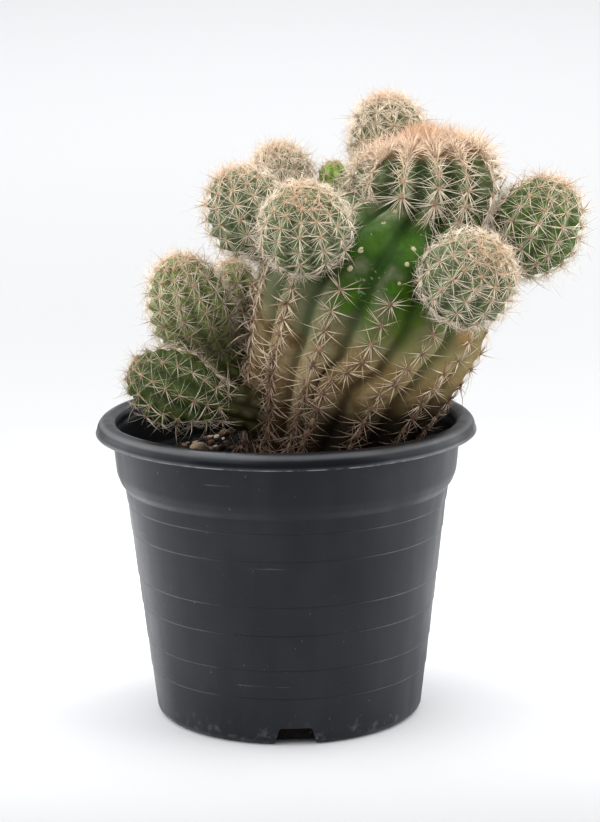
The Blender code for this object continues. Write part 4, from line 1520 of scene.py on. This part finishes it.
def paper(stage):
    """Matt studio paper, with painted light round the pot and on the backdrop, and painted shade in front.
    """
    look = Finish("studio_paper")
    grain = look.noise(900, 3)
    # Painted light: paler paper round the pot, which lightens the pot's shadow on it.
    near = look.mix(look.near((0, 0.1, 0), 0.3), stage.floor, (0.58, 0.584, 0.598))
    tone = look.coats(
        near,
        # Painted light: paler paper up the backdrop.
        (look.between(look.y, 0.48, 1.65), 1, (0.69, 0.697, 0.712)),
        # Painted shade: greyer paper in front of the pot.
        (look.between(look.y, -0.03, -0.14), 1, (0.334, 0.336, 0.341)),
        (look.between(grain, 0.3, 0.7), 0.03, (0.44, 0.44, 0.44)),
    )
    return look.done(tone, 0.9, normal=look.bump(grain, 0.05 * MM, 0.1))


def softbox(name, place, size, power):
    """A rectangular light that faces the plant."""
    light = bpy.data.lights.new(name, "AREA")
    light.shape = "RECTANGLE"
    light.size, light.size_y = size
    light.energy = power
    lamp = bpy.data.objects.new(name, light)
    lamp.location = place
    lamp.rotation_euler = (Vector(LIGHT_AIM) - Vector(place)).to_track_quat("-Z", "Y").to_euler()
    bpy.context.scene.collection.objects.link(lamp)


def place_camera():
    """The camera as fitted to the picture: its yaw, pitch and roll, and its focal length in pixels."""
    data = bpy.data.cameras.new("camera")
    data.sensor_width = SENSOR
    data.lens = SENSOR * FOCAL_PIXELS / IMAGE_HEIGHT
    yaw, pitch, roll = CAMERA_YAW, CAMERA_PITCH, CAMERA_ROLL
    forward = Vector((math.sin(yaw) * math.cos(pitch), math.cos(yaw) * math.cos(pitch), -math.sin(pitch)))
    right = Vector((math.cos(yaw), -math.sin(yaw), 0))
    up = right.cross(forward)
    across = right * math.cos(roll) + up * math.sin(roll)
    above = up * math.cos(roll) - right * math.sin(roll)
    camera = bpy.data.objects.new("camera", data)
    turned = Matrix((across, above, -forward)).transposed().to_4x4()
    camera.matrix_world = Matrix.Translation(CAMERA_PLACE) @ turned
    bpy.context.scene.collection.objects.link(camera)
    bpy.context.scene.camera = camera


class LOBIVIA_OT_pot(bpy.types.Operator):
    """Turns the nursery pot, cuts its drain notches and gives it its plastic"""

    bl_idname = "lobivia.pot"
    bl_label = "Pot"

    def execute(self, context):
        build_pot(context.scene.lobivia.pot)
        return {"FINISHED"}


class LOBIVIA_OT_soil(bpy.types.Operator):
    """Fills the pot with soil, grit and a few loose stones"""

    bl_idname = "lobivia.soil"
    bl_label = "Soil"

    def execute(self, context):
        build_soil(context.scene.lobivia.soil)
        return {"FINISHED"}


class LOBIVIA_OT_old_stem(bpy.types.Operator):
    """Grows the old leaning stem with its ribs, areoles and spines"""

    bl_idname = "lobivia.old_stem"
    bl_label = "Old stem"

    def execute(self, context):
        settings = context.scene.lobivia
        build_stems(settings, "old_stem_skin", old_skin, [old_stem(settings.skin, settings.spines)], 0)
        return {"FINISHED"}


class LOBIVIA_OT_offsets(bpy.types.Operator):
    """Grows the offsets with their ribs, areoles and spines"""

    bl_idname = "lobivia.offsets"
    bl_label = "Offsets"

    def execute(self, context):
        settings = context.scene.lobivia
        build_stems(settings, "young_stem_skin", young_skin, offsets(settings.skin, settings.spines), 1)
        return {"FINISHED"}


class LOBIVIA_OT_stage(bpy.types.Operator):
    """Lays the floor, hangs the lights and places the camera"""

    bl_idname = "lobivia.stage"
    bl_label = "Stage"

    def execute(self, context):
        build_stage(context.scene.lobivia.stage)
        return {"FINISHED"}


class LOBIVIA_PT_build(bpy.types.Panel):
    """Lists the settings and what they build"""

    bl_label = "Potted lobivia"
    bl_idname = "LOBIVIA_PT_build"
    bl_space_type = "VIEW_3D"
    bl_region_type = "UI"
    bl_category = "Lobivia"

    def draw(self, context):
        settings = context.scene.lobivia
        for group, operators in PANEL_ROWS:
            box = self.layout.box()
            for operator in operators:
                box.operator(operator)
            for key in getattr(settings, group).bl_rna.properties.keys():
                if key not in ("rna_type", "name"):
                    box.prop(getattr(settings, group), key)


PANEL_ROWS = [
    ("pot", ["lobivia.pot"]),
    ("soil", ["lobivia.soil"]),
    ("skin", ["lobivia.old_stem", "lobivia.offsets"]),
    ("spines", []),
    ("stage", ["lobivia.stage"]),
]

CLASSES = [
    PotSettings, SoilSettings, SkinSettings, SpineSettings, StageSettings, LobiviaSettings,
    LOBIVIA_OT_pot, LOBIVIA_OT_soil, LOBIVIA_OT_old_stem, LOBIVIA_OT_offsets, LOBIVIA_OT_stage,
    LOBIVIA_PT_build,
]


def register():
    for each in CLASSES:
        bpy.utils.register_class(each)
    bpy.types.Scene.lobivia = PointerProperty(type=LobiviaSettings)


def unregister():
    del bpy.types.Scene.lobivia
    for each in reversed(CLASSES):
        bpy.utils.unregister_class(each)


def main():
    register()
    bpy.ops.lobivia.pot()
    bpy.ops.lobivia.soil()
    bpy.ops.lobivia.old_stem()
    bpy.ops.lobivia.offsets()
    bpy.ops.lobivia.stage()
    boxes = {"cad": CAD_BOX, "visual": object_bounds()}
    {key: [list(corner) for corner in box] for key, box in boxes.items()}


if __name__ == "__main__":
    main()
